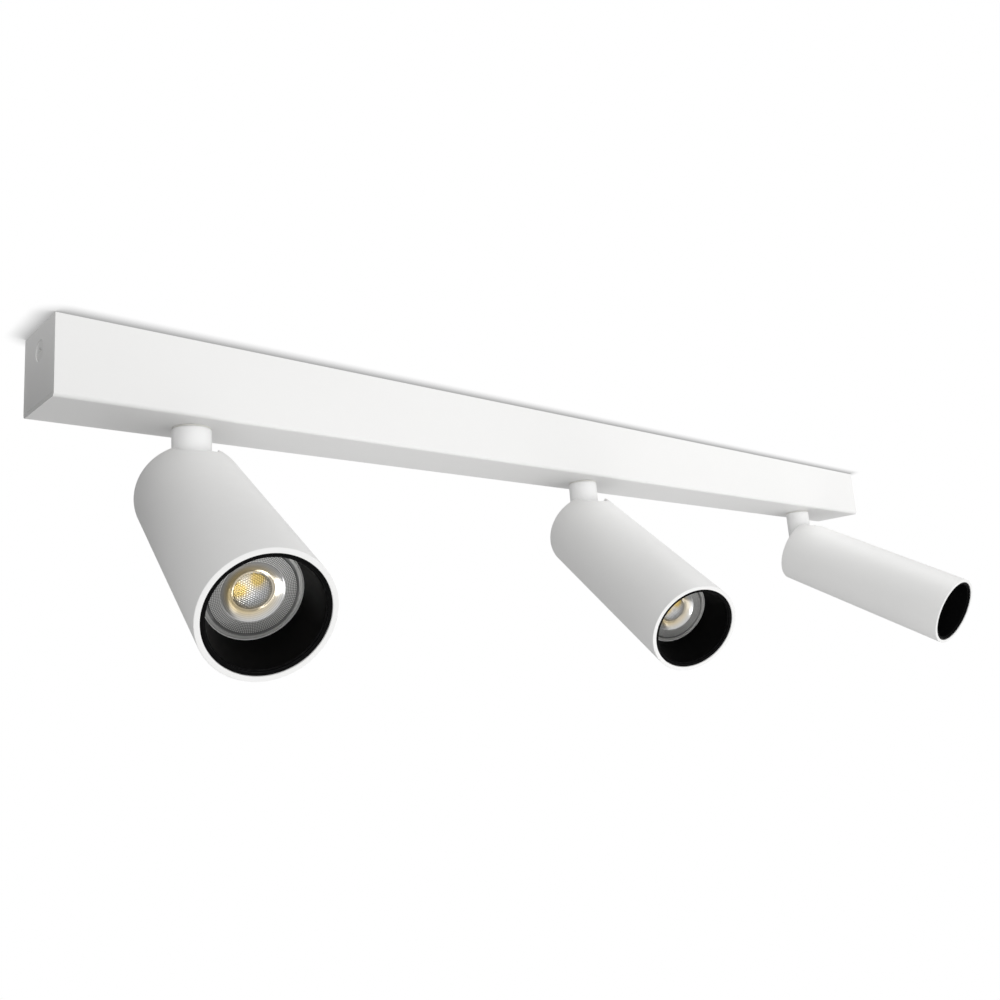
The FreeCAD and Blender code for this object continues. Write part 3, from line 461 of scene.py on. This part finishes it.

# %% [markdown]
# ## Lit neck coat
# The necks are turned parts in the same powder coat as the tubes and the bar. Their copy of the
# coat is whiter and smoother, painted lighter to stand in for the light that falls on the necks.

# %% Lit neck coat
LIT_NECK_COAT = finish(
    "lit_neck_coat", (0.97, 0.97, 0.966), 0.38, grain=1100.0, relief=0.12, relief_depth=0.00005,
    gloss_spread=0.04, tone_spread=0.01, dust=0.03)

# %% [markdown]
# ## Satin black moulding
# The anti-glare cone is moulded in black. A spark-eroded mould leaves a fine even grain, so the
# cone shows broad soft highlights rather than mirror ones. A hair of grey on its sharp corners and
# lip is a painted highlight.

# %% Black moulding
# The cone's edge colour is a painted highlight on its sharp corners and lip, not wear.
BLACK_MOULDING = finish(
    "black_baffle", (0.0030, 0.0030, 0.0031), 0.45, grain=2600.0, relief=0.2,
    relief_depth=0.00003, gloss_spread=0.08, tone_spread=0.2, specular=0.025,
    edge_colour=(0.05, 0.05, 0.052), edge_width=0.0003, breakup=0.3, dust=0.0)

# %% [markdown]
# ## Zinc, brass and the small mouldings
# The strip, screws and pins are bright zinc: metal with a cloudy gloss and paler rubbed corners.
# The two end screws are lacquered over their zinc, so that they hardly show on the end caps.
# The nuts and the earth stud are brass. Washers, the terminal block and the holder are white
# nylon and ceramic, the bush is black rubber, and the leads are silicone.

# %% Metals
ZINC = finish(
    "zinc_steel", (0.60, 0.61, 0.62), 0.34, metallic=1.0, grain=900.0, relief=0.1,
    gloss_spread=0.2, tone_spread=0.16, edge_colour=(0.78, 0.78, 0.78), dust=0.15)
LACQUERED_ZINC = finish(
    "lacquered_zinc", (0.82, 0.82, 0.81), 0.4, metallic=0.1, grain=900.0, relief=0.1,
    gloss_spread=0.1, tone_spread=0.05, edge_colour=(0.78, 0.78, 0.78), dust=0.05)
BRASS = finish(
    "brass", (0.72, 0.53, 0.25), 0.3, metallic=1.0, grain=1200.0, relief=0.1,
    gloss_spread=0.16, tone_spread=0.15, edge_colour=(0.85, 0.68, 0.38), dust=0.15)

# %% Mouldings, rubber and leads
NYLON = finish("white_nylon", (0.80, 0.79, 0.75), 0.5, grain=2200.0, relief=0.2, dust=0.15)
CERAMIC = finish("ceramic", (0.83, 0.81, 0.76), 0.7, grain=1800.0, relief=0.5, tone_spread=0.08)
RUBBER = finish("black_rubber", (0.025, 0.025, 0.025), 0.72, grain=1500.0, relief=0.4, dust=0.3)
SHEATH = finish("lead_sheath", (0.74, 0.73, 0.70), 0.5, grain=900.0, relief=0.3, dust=0.25)
LAMP_WHITE = finish("lamp_plastic", (0.78, 0.78, 0.77), 0.42, grain=2000.0, relief=0.2)

# %% [markdown]
# ## The optic, the phosphor and the board
# The lens is clear acrylic, but an unlit one doesn't look like window glass: its conical back
# throws the room's light out again, so its ring looks pale grey, and its bowl and dome look
# silvery with the yellow of the phosphor caught in them. Tracing that through real acrylic takes
# very long, so the front carries two finishes instead. Both have a clear glossy coat. Two point
# attributes of the mesh paint light and shade into their colour: "phosphor" paints the yellow
# reflection of the phosphor onto it, and "joint" paints shade where one looks past the cells into
# the dark, on the narrow joints between the moulded cells and lenslets, on the rim and in the groove.

# %% Optic finishes
SILVER = (0.86, 0.87, 0.88)
# The phosphor's own yellow, also used for its painted reflection on the lens.
PHOSPHOR_YELLOW = (1.0, 0.72, 0.20)
# The dark of the painted shade on the lens's joints, rim and groove.
PAINTED_JOINT_SHADE = (0.015, 0.015, 0.018)
ACRYLIC_IOR = 1.49
COAT_ROUGHNESS = 0.06


def optic_finish(name, colour, gloss, metallic):
    """Moulded acrylic: a body under a clear coat, with painted reflection and shade from the mesh."""
    material, tree, shader = new_material(name)
    shader.inputs["Metallic"].default_value = metallic
    shader.inputs["IOR"].default_value = ACRYLIC_IOR
    shader.inputs["Coat Weight"].default_value = 1.0
    shader.inputs["Coat Roughness"].default_value = COAT_ROUGHNESS
    surface = place_group(tree, FINE_GRAIN, {
        "Grain Per Metre": 1400.0, "Gloss Middle": gloss, "Gloss Spread": 0.08,
        "Tone Spread": 0.12})
    tree.links.new(surface.outputs["Gloss"], shader.inputs["Roughness"])
    tinted = add_node(tree, "ShaderNodeVectorMath", operation="SCALE")
    tinted.inputs[0].default_value = colour
    tree.links.new(surface.outputs["Tone"], tinted.inputs["Scale"])
    paint = tinted.outputs[0]
    # The "phosphor" mark paints a yellow reflection of the phosphor, the "joint" mark paints shade.
    for mark, shade in (("phosphor", PHOSPHOR_YELLOW), ("joint", PAINTED_JOINT_SHADE)):
        share = add_node(tree, "ShaderNodeAttribute", attribute_name=mark)
        paint = mixed(tree, share.outputs["Fac"], paint, shade)
    tree.links.new(paint, shader.inputs["Base Color"])
    print("finish", name)
    return material


FROSTED_OPTIC = optic_finish("frosted_optic", (0.88, 0.88, 0.85), 0.38, 0.1)
BRIGHT_OPTIC = optic_finish("bright_optic", SILVER, 0.2, 0.55)
PHOSPHOR = finish(
    "phosphor", PHOSPHOR_YELLOW, 0.55, grain=5200.0, relief=0.5, tone_spread=0.25, dust=0.0)
BOARD = finish("chip_board", (0.86, 0.86, 0.84), 0.35, grain=2400.0, relief=0.2, dust=0.0)

# %% [markdown]
# ## Finishes on the CAD pieces
# Most CAD nodes keep their meshes, so they only need the right finish in their material slots.
# The record of the model names a material slot for every node, and each slot has one finish.

# %% Dress the CAD nodes
FINISHES = {
    "white_powder_coat": WHITE_COAT, "zinc_steel": ZINC, "black_rubber": RUBBER,
    "white_nylon": NYLON, "brass": BRASS, "lead_sheath": SHEATH, "ceramic": CERAMIC,
    "lamp_plastic": LAMP_WHITE, "clear_lens": FROSTED_OPTIC, "black_baffle": BLACK_MOULDING,
}
for subpart in frame["record"]["subparts"]:
    slots = frame["nodes"][subpart["node"]].data.materials
    slots.clear()
    slots.append(FINISHES[subpart["material_slot"]])
# The necks get the lighter copy of the coat, which paints light on them.
for number in HEADS:
    frame["nodes"][f"neck_{number}"].data.materials[0] = LIT_NECK_COAT
frame["nodes"]["end_screws"].data.materials[0] = LACQUERED_ZINC
print(len(frame["nodes"]), "nodes dressed")

# %% [markdown]
# ## The tubes
# The tube is the largest thing in view, so its outline must be a true circle and its rims must be
# softly broken, as a coated edge is. The rear rim dips into a half-round notch for the neck. A
# boolean cut would leave a ragged mesh there, so instead every column of the wall ends on the
# notch's own outline, and the rim's rounding follows that outline too.

# %% Tube outline
NOTCH_CLEARANCE = 1.0 * MM
NOTCH_RADIUS = NECK_RADIUS + NOTCH_CLEARANCE
NOTCH_SINK = 0.65 * MM
NOTCH_CENTRE = TUBE_REAR - NOTCH_SINK
RIM_ROUND = 0.35 * MM
CORNER_SPREAD, WALL_SPREAD = 0.06 * MM, 0.3 * MM
NOTCH_STEPS = 40
WALL_STEPS = 132
RIM_STEPS = 4
BASE_HEIGHT = NOTCH_CENTRE - NOTCH_RADIUS - 4 * MM


def rear_columns():
    """For each column: its sideways place and height on the rear edge, inside it, and below."""
    soft = NOTCH_RADIUS + RIM_ROUND
    columns = []
    for step in range(NOTCH_STEPS + 1):
        turned = math.radians(-90 + 180 * step / NOTCH_STEPS)
        side, down = math.sin(turned), math.cos(turned)
        columns.append(((side * NOTCH_RADIUS, NOTCH_CENTRE - down * NOTCH_RADIUS),
                        (side * soft, NOTCH_CENTRE - down * soft), side * soft))
    corner = ((NOTCH_RADIUS, TUBE_REAR), (soft, TUBE_REAR - RIM_ROUND), soft + CORNER_SPREAD)
    columns.append(corner)
    start = math.asin((soft + WALL_SPREAD) / TUBE_RADIUS)
    for step in range(WALL_STEPS + 1):
        angle = start + (2 * math.pi - 2 * start) * step / WALL_STEPS
        columns.append((angle, TUBE_REAR, TUBE_REAR - RIM_ROUND))
    (edge, _), (inside, _), below = corner
    columns.append(((-edge, TUBE_REAR), (-inside, TUBE_REAR - RIM_ROUND), -below))
    return columns


def column_levels(column):
    """The angle and height of a column on the rear edge, inside it and below the notch."""
    if isinstance(column[0], float):
        angle, edge, inside = column
        return (angle, edge), (angle, inside), (angle, BASE_HEIGHT)
    (edge_side, edge), (inside_side, inside), below_side = column
    angles = [math.asin(side / TUBE_RADIUS) for side in (edge_side, inside_side, below_side)]
    return (angles[0], edge), (angles[1], inside), (angles[2], BASE_HEIGHT)


print("notch", round(2 * NOTCH_RADIUS / MM, 1), "mm wide,", len(rear_columns()), "columns")

# %% Tube mesh
BORE_ROUND = RIM_ROUND * 0.7


def tube_rows():
    """Rows of points from the bore's rear edge, out over the rear rim, down and back inside."""
    levels = [column_levels(column) for column in rear_columns()]
    rows = [[(BORE, angle, height) for (angle, height), _, _ in levels]]
    for step in range(RIM_STEPS + 1):
        turned = math.radians(90 - 90 * step / RIM_STEPS)
        share, sunk = math.sin(turned), RIM_ROUND * (1 - math.cos(turned))
        rows.append([(TUBE_RADIUS - sunk,
                      inside[0] + (edge[0] - inside[0]) * share,
                      inside[1] + (edge[1] - inside[1]) * share)
                     for edge, inside, _ in levels])
    for share in (0.25, 0.5, 0.75, 1.0):
        rows.append([(TUBE_RADIUS,
                      inside[0] + (below[0] - inside[0]) * share,
                      inside[1] + (below[1] - inside[1]) * share)
                     for _, inside, below in levels])
    angles = [below[0] for _, _, below in levels]
    long_wall = BASE_HEIGHT - TUBE_FRONT - RIM_ROUND
    for share in (0.25, 0.5, 0.75):
        rows.append([(TUBE_RADIUS, angle, BASE_HEIGHT - long_wall * share) for angle in angles])
    front = rounded([(TUBE_RADIUS, BASE_HEIGHT, 0), (TUBE_RADIUS, TUBE_FRONT, RIM_ROUND),
                     (BORE, TUBE_FRONT, BORE_ROUND), (BORE, BASE_HEIGHT, 0)], RIM_STEPS)
    for radius, height in front[1:]:
        rows.append([(radius, angle, height) for angle in angles])
    return rows


print(len(tube_rows()), "rows round a tube")


# %% Make the tubes
def make_tube(number):
    """The tube of a head, in place of its CAD node."""
    points, faces = wrap_rows([
        [(radius * math.cos(angle), radius * math.sin(angle), height)
         for radius, angle, height in row] for row in tube_rows()])
    tube = new_piece(f"tube_{number}", points, faces, WHITE_COAT, f"head_{number}",
                     head_place(number))
    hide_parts(f"tube_housing_{number}")
    return tube


for number in HEADS:
    tube = make_tube(number)
print("tubes:", len(tube.data.polygons), "faces each")

# %% [markdown]
# ## The anti-glare cones
# The black cone is pressed into the tube's mouth. From outside it shows a narrow flat lip, one
# small step and then the long cone down to the lamp. It is a plain turned shape, so a closed
# profile with small roundings at its corners is enough. The roundings matter: they catch the
# thin grey lines that show where the lip ends.

# %% Cone mesh
LIP_WIDTH = 1.6 * MM
LIP_DEPTH = 1.1 * MM
STEP_WIDTH = 0.5 * MM
CONE_WALL = 1.1 * MM
SKIRT_LENGTH = 17.5 * MM
CONE_COLUMNS = 192
CONE_BELLY = 0.25 * MM
CONE_RINGS = 8
OUTER_ROUND, LIP_ROUND, STEP_ROUND = 0.2 * MM, 0.15 * MM, 0.1 * MM


def cone_profile():
    """The closed outline of the cone, from the lip's outer edge round and back."""
    lip = BAFFLE_RADIUS - LIP_WIDTH
    step = lip - STEP_WIDTH
    low = BAFFLE_FRONT + LIP_DEPTH
    skirt = BAFFLE_FRONT + SKIRT_LENGTH
    inner = BAFFLE_RADIUS - CONE_WALL
    corners = [
        (BAFFLE_RADIUS, BAFFLE_FRONT, OUTER_ROUND), (lip, BAFFLE_FRONT, LIP_ROUND),
        (lip, low, STEP_ROUND), (step, low, LIP_ROUND)]
    for ring in range(1, CONE_RINGS):
        share = ring / CONE_RINGS
        belly = CONE_BELLY * math.sin(math.pi * share)
        corners.append((step + (THROAT - step) * share + belly,
                        low + (BAFFLE_BACK - low) * share, 0))
    corners += [
        (THROAT, BAFFLE_BACK, 0), (THROAT + 2 * CONE_WALL, BAFFLE_BACK, 0),
        (THROAT + CONE_WALL, BAFFLE_BACK - CONE_WALL, 0),
        (inner, low + LIP_DEPTH, 0), (inner, skirt, 0), (BAFFLE_RADIUS, skirt, 0)]
    return rounded(corners)


print(len(cone_profile()), "points on a cone's outline")


# %% Make the cones
def make_cone(number):
    """The anti-glare cone of a head, in place of its CAD node."""
    points, faces = lathe(cone_profile(), CONE_COLUMNS)
    cone = new_piece(f"anti_glare_cone_{number}", points, faces, BLACK_MOULDING,
                     f"head_{number}", head_place(number))
    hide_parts(f"baffle_{number}")
    return cone


for number in HEADS:
    cone = make_cone(number)
print("cones:", len(cone.data.polygons), "faces each")

# %% [markdown]
# ## The lenses
# The lens is what an eye goes to. Its front has four zones: a rim with a groove, a flat ring with
# a fine moulded grid, a sunken bowl, and a low dome covered in tiny lenses. All four are one
# surface, so a single height rule says how deep each point lies, and a dense round grid follows
# that rule. The back is the smooth cone that real collimators have.

# %% Lens sizes
LENS_COLUMNS = 272
RIM_BEVEL, RIM_DROP = 0.2 * MM, 0.25 * MM
GROOVE_OUTER = LENS_RADIUS - 1.3 * MM
GROOVE_INNER = GROOVE_OUTER - 1.3 * MM
GROOVE_DEPTH = 0.8 * MM
GROOVE_SLOPE = 0.15 * MM
BOWL_RADIUS = 13.0 * MM
BOWL_FLOOR = 8.2 * MM
BOWL_DEPTH = 2.3 * MM
DOME_RADIUS = 7.6 * MM
DOME_TOP = 0.9 * MM
DOME_FALL = 0.9
GRID_RINGS = 7
BOWL_ROWS = 14
DOME_ROWS = 40
GRID_RELIEF = 0.13 * MM
FACET_RELIEF = 0.16 * MM
LENSLET_PITCH = 1.05 * MM
LENSLET_RELIEF = 0.2 * MM
LENSLET_FADE = 0.4 * MM
print("grid ring", round((GROOVE_INNER - BOWL_RADIUS) / MM, 1), "mm wide")


# %% Lens front
def lenslet_gap(across, along):
    """How far a point is from the middle of its honeycomb cell: 0 there, 1 at the corners."""
    row_gap = LENSLET_PITCH * math.sqrt(3) / 2
    nearest = LENSLET_PITCH
    middle_row = round(along / row_gap)
    for row in (middle_row - 1, middle_row, middle_row + 1):
        shift = LENSLET_PITCH / 2 * (row % 2)
        column = round((across - shift) / LENSLET_PITCH)
        gap = math.hypot(across - shift - column * LENSLET_PITCH, along - row * row_gap)
        nearest = min(nearest, gap)
    return nearest * math.sqrt(3) / LENSLET_PITCH


def front_rows():
    """Radius, depth and zone of each row of the lens's front, from the rim to the middle."""
    rows = [(LENS_RADIUS, RIM_DROP, "rim"), (LENS_RADIUS - RIM_BEVEL, 0, "rim"),
            (GROOVE_OUTER, 0, "rim"), (GROOVE_OUTER - GROOVE_SLOPE, GROOVE_DEPTH, "groove"),
            (GROOVE_INNER + GROOVE_SLOPE, GROOVE_DEPTH, "groove")]
    for step in range(2 * GRID_RINGS + 1):
        share = step / (2 * GRID_RINGS)
        radius = GROOVE_INNER + (BOWL_RADIUS - GROOVE_INNER) * share
        rows.append((radius, 0, "cell" if step % 2 else "ring"))
    for step in range(1, BOWL_ROWS + 1):
        share = step / BOWL_ROWS
        swing = share * (1.5 - 0.5 * share)
        zone = "bowl cell" if step % 2 else "bowl"
        rows.append((BOWL_RADIUS + (BOWL_FLOOR - BOWL_RADIUS) * share, BOWL_DEPTH * swing, zone))
    for step in range(DOME_ROWS + 1):
        radius = DOME_RADIUS * (1 - step / DOME_ROWS)
        rise = (BOWL_DEPTH - DOME_TOP) * (1 - DOME_FALL * (radius / DOME_RADIUS) ** 2)
        rows.append((radius, BOWL_DEPTH - rise, "dome"))
    return rows


print(len(front_rows()), "rows on the lens's front")

# %% Lens back
RING_SHEET = 2.6 * MM


def lens_back():
    """Radius and depth of each row of the lens's back, from the middle out to the rim."""
    cone = LENS_BACK - LENS_FRONT
    return [
        (0.0, cone - 4.2 * MM), (2.5 * MM, cone - 4.0 * MM), (4.4 * MM, cone - 3.2 * MM),
        (4.9 * MM, cone - 0.2 * MM), (5.2 * MM, cone), (9.0 * MM, cone),
        (9.4 * MM, cone - 0.3 * MM), (12.6 * MM, cone - 1.9 * MM), (15.5 * MM, cone - 3.9 * MM),
        (LENS_RADIUS - RING_SHEET, RING_SHEET), (LENS_RADIUS - RIM_BEVEL, RING_SHEET),
        (LENS_RADIUS, RING_SHEET * 0.9)]


print(len(lens_back()), "rows on the lens's back")

# %% Painted light in the lens
# Painted reflection of the phosphor: a yellow ring round the dome and two spots on the lens.
PAINTED_PHOSPHOR_SPOTS = ((0.4 * MM, -5.3 * MM), (5.2 * MM, 1.5 * MM))
PAINTED_SPOT_REACH = 3.1 * MM
PAINTED_SPOT_SHARE = 1.5
PAINTED_RING_RADIUS = 9.3 * MM
PAINTED_RING_WIDTH = 2.2 * MM
PAINTED_RING_SHARE = 0.75
PAINTED_RING_SIDE = math.radians(-95)
PAINTED_RING_LEAN = 0.25
# How much painted shade each zone of the lens gets.
JOINT_SHADE_SHARES = {"rim": 0.5, "groove": 0.85, "ring": 0.9, "cell": 0.9, "bowl": 0.42,
                "bowl cell": 0.42, "dome": 0.6}


def painted_phosphor_reflection(across, along):
    """Painted phosphor reflection: a ring round the dome, warmest on one side, and two soft spots."""
    radius = math.hypot(across, along)
    turned = math.atan2(along, across) - PAINTED_RING_SIDE
    lean = 1 - PAINTED_RING_LEAN + PAINTED_RING_LEAN * math.cos(turned)
    warm = PAINTED_RING_SHARE * lean * math.exp(-((radius - PAINTED_RING_RADIUS) / PAINTED_RING_WIDTH) ** 2)
    if radius < DOME_RADIUS:
        for x, y in PAINTED_PHOSPHOR_SPOTS:
            away = (across - x) ** 2 + (along - y) ** 2
            warm += PAINTED_SPOT_SHARE * math.exp(-away / PAINTED_SPOT_REACH ** 2)
    return min(1.0, warm)


def painted_joint_shade(zone, turn, gap):
    """Painted shade of a point: the dark seen past the joints between cells, on the rim, in the groove."""
    if zone == "dome":
        return JOINT_SHADE_SHARES[zone] * min(1.0, gap) ** 2
    on_cell = zone in ("cell", "bowl cell") and turn % 2
    return 0.0 if on_cell else JOINT_SHADE_SHARES[zone]


print("yellow at the warm side", round(painted_phosphor_reflection(0.0, -PAINTED_RING_RADIUS), 2))

# %% Lens mesh
RELIEFS = {"cell": GRID_RELIEF, "bowl cell": FACET_RELIEF}


def lens_rows():
    """Rows of the lens, front first and then the back, and the two marks of painted light on each."""
    step = 2 * math.pi / LENS_COLUMNS
    rows, phosphor, joint = [], [], []
    for radius, depth, zone in front_rows():
        row = []
        for turn in range(LENS_COLUMNS if radius else 1):
            across, along = radius * math.cos(step * turn), radius * math.sin(step * turn)
            gap = lenslet_gap(across, along)
            raised = RELIEFS.get(zone, 0.0) if turn % 2 else 0.0
            if zone == "dome":
                fade = min(1.0, (DOME_RADIUS - radius) / LENSLET_FADE)
                raised = LENSLET_RELIEF * (1 - gap ** 2) * fade
            row.append((across, along, LENS_FRONT + depth - raised))
            # Each point gets its painted yellow reflection of the phosphor and its painted shade.
            phosphor.append(painted_phosphor_reflection(across, along))
            joint.append(painted_joint_shade(zone, turn, gap))
        rows.append(row)
    for radius, depth in lens_back():
        row = around(radius, LENS_FRONT + depth, LENS_COLUMNS)
        rows.append(row)
        phosphor += [0.0] * len(row)
        joint += [0.0] * len(row)
    return rows, {"phosphor": phosphor, "joint": joint}


print("facets raised", [round(relief / MM, 2) for relief in RELIEFS.values()], "mm")

# %% Make the lenses
BRIGHT_ZONES = ("bowl", "bowl cell", "dome")


def make_lens(number):
    """The lens of a head, in place of its CAD node."""
    rows, marks = lens_rows()
    points, faces = wrap_rows(rows)
    optic = new_piece(f"lens_{number}", points, faces, FROSTED_OPTIC, f"head_{number}",
                      head_place(number))
    optic.data.materials.append(BRIGHT_OPTIC)
    zones = [zone for _, _, zone in front_rows()]
    for face in optic.data.polygons:
        row = face.index // LENS_COLUMNS
        if row < len(zones) - 1 and zones[row + 1] in BRIGHT_ZONES:
            face.material_index = 1
    for name, values in marks.items():
        mark = optic.data.attributes.new(name, "FLOAT", "POINT")
        mark.data.foreach_set("value", values)
    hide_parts(f"lamp_lens_{number}")
    return optic


for number in HEADS:
    optic = make_lens(number)
print("lenses:", len(optic.data.polygons), "faces each")

# %% [markdown]
# ## The chips under the lenses
# Through the dome one sees the light source: a round yellow phosphor pad inside a raised white
# dam, on a stepped white board that stands on the floor of the lamp. Two turned pieces make it,
# one for each finish, and they stay under the lens with a small gap.

# %% Chip and board
CHIP_GAP = 0.5 * MM
PAD_RADIUS = 4.3 * MM
DAM_RADIUS = 5.2 * MM
BOARD_RADIUS = 8.5 * MM
BOARD_SHEET = 1.4 * MM
DAM_HEIGHT = 0.5 * MM
PAD_SEAT = 0.1 * MM
POST_RADIUS = 7.0 * MM
CHIP_COLUMNS = 96
CAVITY_FLOOR = LENS_FRONT + 17 * MM


def make_chip(number):
    """The board with its dam, and the phosphor pad in it."""
    top = LENS_BACK + CHIP_GAP
    board_top = top + DAM_HEIGHT
    seat = board_top + PAD_SEAT
    body, place = f"head_{number}", head_place(number)
    points, faces = lathe(rounded([
        (PAD_RADIUS, seat, 0), (PAD_RADIUS, top, 0.1 * MM),
        (DAM_RADIUS, top, 0.3 * MM), (DAM_RADIUS, board_top, 0),
        (BOARD_RADIUS, board_top, 0.1 * MM), (BOARD_RADIUS, board_top + BOARD_SHEET, 0),
        (POST_RADIUS, board_top + BOARD_SHEET, 0), (POST_RADIUS, CAVITY_FLOOR, 0),
        (0.0, CAVITY_FLOOR, 0), (0.0, seat, 0)]), CHIP_COLUMNS)
    board = new_piece(f"chip_board_{number}", points, faces, BOARD, body, place)
    points, faces = lathe([
        (0.0, seat), (PAD_RADIUS, seat), (PAD_RADIUS, top + 0.15 * MM),
        (PAD_RADIUS * 0.7, top + 0.05 * MM), (0.0, top)], CHIP_COLUMNS)
    pad = new_piece(f"chip_phosphor_{number}", points, faces, PHOSPHOR, body, place)


for number in HEADS:
    make_chip(number)
print("chips on", len(HEADS), "lamps")

# %% [markdown]
# ## The stage
# The bar hangs on a white ceiling, so the stage has a ceiling as well as a plain pale floor. Each
# shows only from its own side, with a soft grey shadow close to whatever touches it. From
# behind it is see-through, so that the top of the bar can be looked at too, and it never blocks
# the light.

# %% Ceiling and floor
CEILING_GAP = 0.4 * MM
FLOOR_DROP = 1.6
STAGE_SIZE = 12.0
SHADOW_REACH = 0.012
SHADOW_TONE = 0.42


def stage_sheet(name, height, corners, material):
    """A large level sheet for the stage: the order of its corners says which way it faces."""
    half = STAGE_SIZE / 2
    mesh = bpy.data.meshes.new(name)
    mesh.from_pydata([(-half, -half, height), (half, -half, height), (half, half, height),
                      (-half, half, height)], [], [corners])
    mesh.materials.append(material)
    sheet = bpy.data.objects.new(name, mesh)
    bpy.context.scene.collection.objects.link(sheet)
    return sheet


print("shadows reach", round(SHADOW_REACH / MM), "mm")

# %% Stage material
MOST_SHADED, LEAST_SHADED = 0.5, 0.97
SHADE_SAMPLES = 32


def stage_material(name):
    """White to the eye from the front, darker close to the bar, and otherwise see-through."""
    material, tree, shader = new_material(name)
    tree.nodes.remove(shader)
    near = add_node(tree, "ShaderNodeAmbientOcclusion", {"Distance": SHADOW_REACH},
                    samples=SHADE_SAMPLES)
    tone = ranged(tree, near.outputs["AO"], MOST_SHADED, LEAST_SHADED, SHADOW_TONE, 1.0)
    glow = add_node(tree, "ShaderNodeEmission")
    tree.links.new(tone, glow.inputs["Strength"])
    clear = add_node(tree, "ShaderNodeBsdfTransparent")
    path = add_node(tree, "ShaderNodeLightPath")
    side = add_node(tree, "ShaderNodeNewGeometry")
    front = math_node(tree, "SUBTRACT", 1.0, side.outputs["Backfacing"])
    seen = math_node(tree, "MULTIPLY", path.outputs["Is Camera Ray"], front)
    choice = add_node(tree, "ShaderNodeMixShader")
    tree.links.new(seen, choice.inputs[0])
    tree.links.new(clear.outputs[0], choice.inputs[1])
    tree.links.new(glow.outputs[0], choice.inputs[2])
    tree.links.new(choice.outputs[0], tree.nodes["Material Output"].inputs["Surface"])
    return material


stage_sheet("ceiling", cad_box[1][2] + CEILING_GAP, (3, 2, 1, 0), stage_material("ceiling"))
stage_sheet("floor", cad_box[0][2] - FLOOR_DROP, (0, 1, 2, 3), stage_material("floor"))
print("stage: ceiling and floor")

# %% [markdown]
# ## The light
# A white product is lit by a large soft surround rather than by lamps: here the whole surround
# glows, brightest at the front right and a little below, and dimmest behind. So the bar's front
# face is the brightest, the underside a step darker, and the tubes shade gently round. Three
# softboxes lift the satin coat, mostly towards the right. Two more each shine on one kind of
# piece alone: one draws the white crescent in each lens, and one brings out the necks, which stand
# in the shade of the bar. A dark card beside the left end, which the eye can't see, keeps the
# surround off the end cap and the first tube, so that the bar's corner and the tube's round
# side read clearly.

# %% Surround
SURROUND_MIDDLE = 0.612
SURROUND_LEAST = 0.34
SURROUND_SLOPE = Vector((0.0, -0.49, -0.06))


def build_surround():
    """A soft surround that is brighter to one side, and that the eye sees as plain white."""
    world = bpy.data.worlds.new("surround")
    bpy.context.scene.world = world
    world.use_nodes = True
    tree = world.node_tree
    background = tree.nodes["Background"]
    background.inputs["Color"].default_value = (1.0, 1.0, 1.0, 1.0)
    spot = add_node(tree, "ShaderNodeTexCoord")
    lean = add_node(tree, "ShaderNodeVectorMath", operation="DOT_PRODUCT")
    lean.inputs[1].default_value = SURROUND_SLOPE
    tree.links.new(spot.outputs["Generated"], lean.inputs[0])
    even = math_node(tree, "ADD", lean.outputs["Value"], SURROUND_MIDDLE)
    light = math_node(tree, "MAXIMUM", even, SURROUND_LEAST)
    path = add_node(tree, "ShaderNodeLightPath")
    strength = ranged(tree, path.outputs["Is Camera Ray"], 0.0, 1.0, light, 1.0)
    tree.links.new(strength, background.inputs["Strength"])


build_surround()
print("surround from", SURROUND_LEAST, "behind to",
      round(SURROUND_MIDDLE + SURROUND_SLOPE.length, 2), "in front")


# %% Softbox and dark card
def softbox(name, towards, distance, size, power, aim=Vector((0, 0, -0.08))):
    """A square area light at a distance along a direction, turned to the aim."""
    light = bpy.data.lights.new(name, "AREA")
    light.energy = power
    light.size = size
    box = bpy.data.objects.new(name, light)
    box.location = aim + Vector(towards).normalized() * distance
    box.rotation_euler = Vector(towards).to_track_quat("Z", "Y").to_euler()
    bpy.context.scene.collection.objects.link(box)
    return box


def shine_only_on(box, prefix):
    """Let a softbox light only one piece of each head."""
    lit = bpy.data.collections.new(box.name)
    box.light_linking.receiver_collection = lit
    for number in HEADS:
        lit.objects.link(bpy.data.objects[f"{prefix}{number}"])


def dark_card(left, low, high, half_depth):
    """A black card on the left that takes light away and that the eye never sees."""
    mesh = bpy.data.meshes.new("dark_card")
    mesh.from_pydata([(left, -half_depth, low), (left, half_depth, low),
                      (left, half_depth, high), (left, -half_depth, high)], [], [(0, 1, 2, 3)])
    material, _, shader = new_material("dark_card")
    shader.inputs["Base Color"].default_value = (0.0, 0.0, 0.0, 1.0)
    shader.inputs["Specular IOR Level"].default_value = 0.0
    mesh.materials.append(material)
    card = bpy.data.objects.new("dark_card", mesh)
    card.visible_camera = False
    bpy.context.scene.collection.objects.link(card)


print("lights so far:", len(bpy.data.lights))

# %% Place the lights
softbox("key", (0.5, -0.78, -0.39), distance=2.4, size=1.2, power=4)
softbox("low", (-0.35, -0.35, -1.0), distance=0.65, size=0.5, power=0.75,
        aim=Vector((0.2, 0.0, -0.1)))
softbox("top", (0.0, -0.2, 1.0), distance=0.6, size=0.5, power=1.2,
        aim=Vector((0.38, -0.1, -0.1)))
lens_box = softbox("lenses", (-0.66, -0.30, -0.69), distance=1.2, size=0.45, power=5)
shine_only_on(lens_box, "lens_")
neck_box = softbox("necks", (-0.5, -0.85, -0.1), distance=1.5, size=1.0, power=2.5)
shine_only_on(neck_box, "neck_")
dark_card(left=cad_box[0][0] - 0.06, low=-0.15, high=-1.3 * SHADOW_REACH, half_depth=0.05)
print("lights:", len(bpy.data.lights))
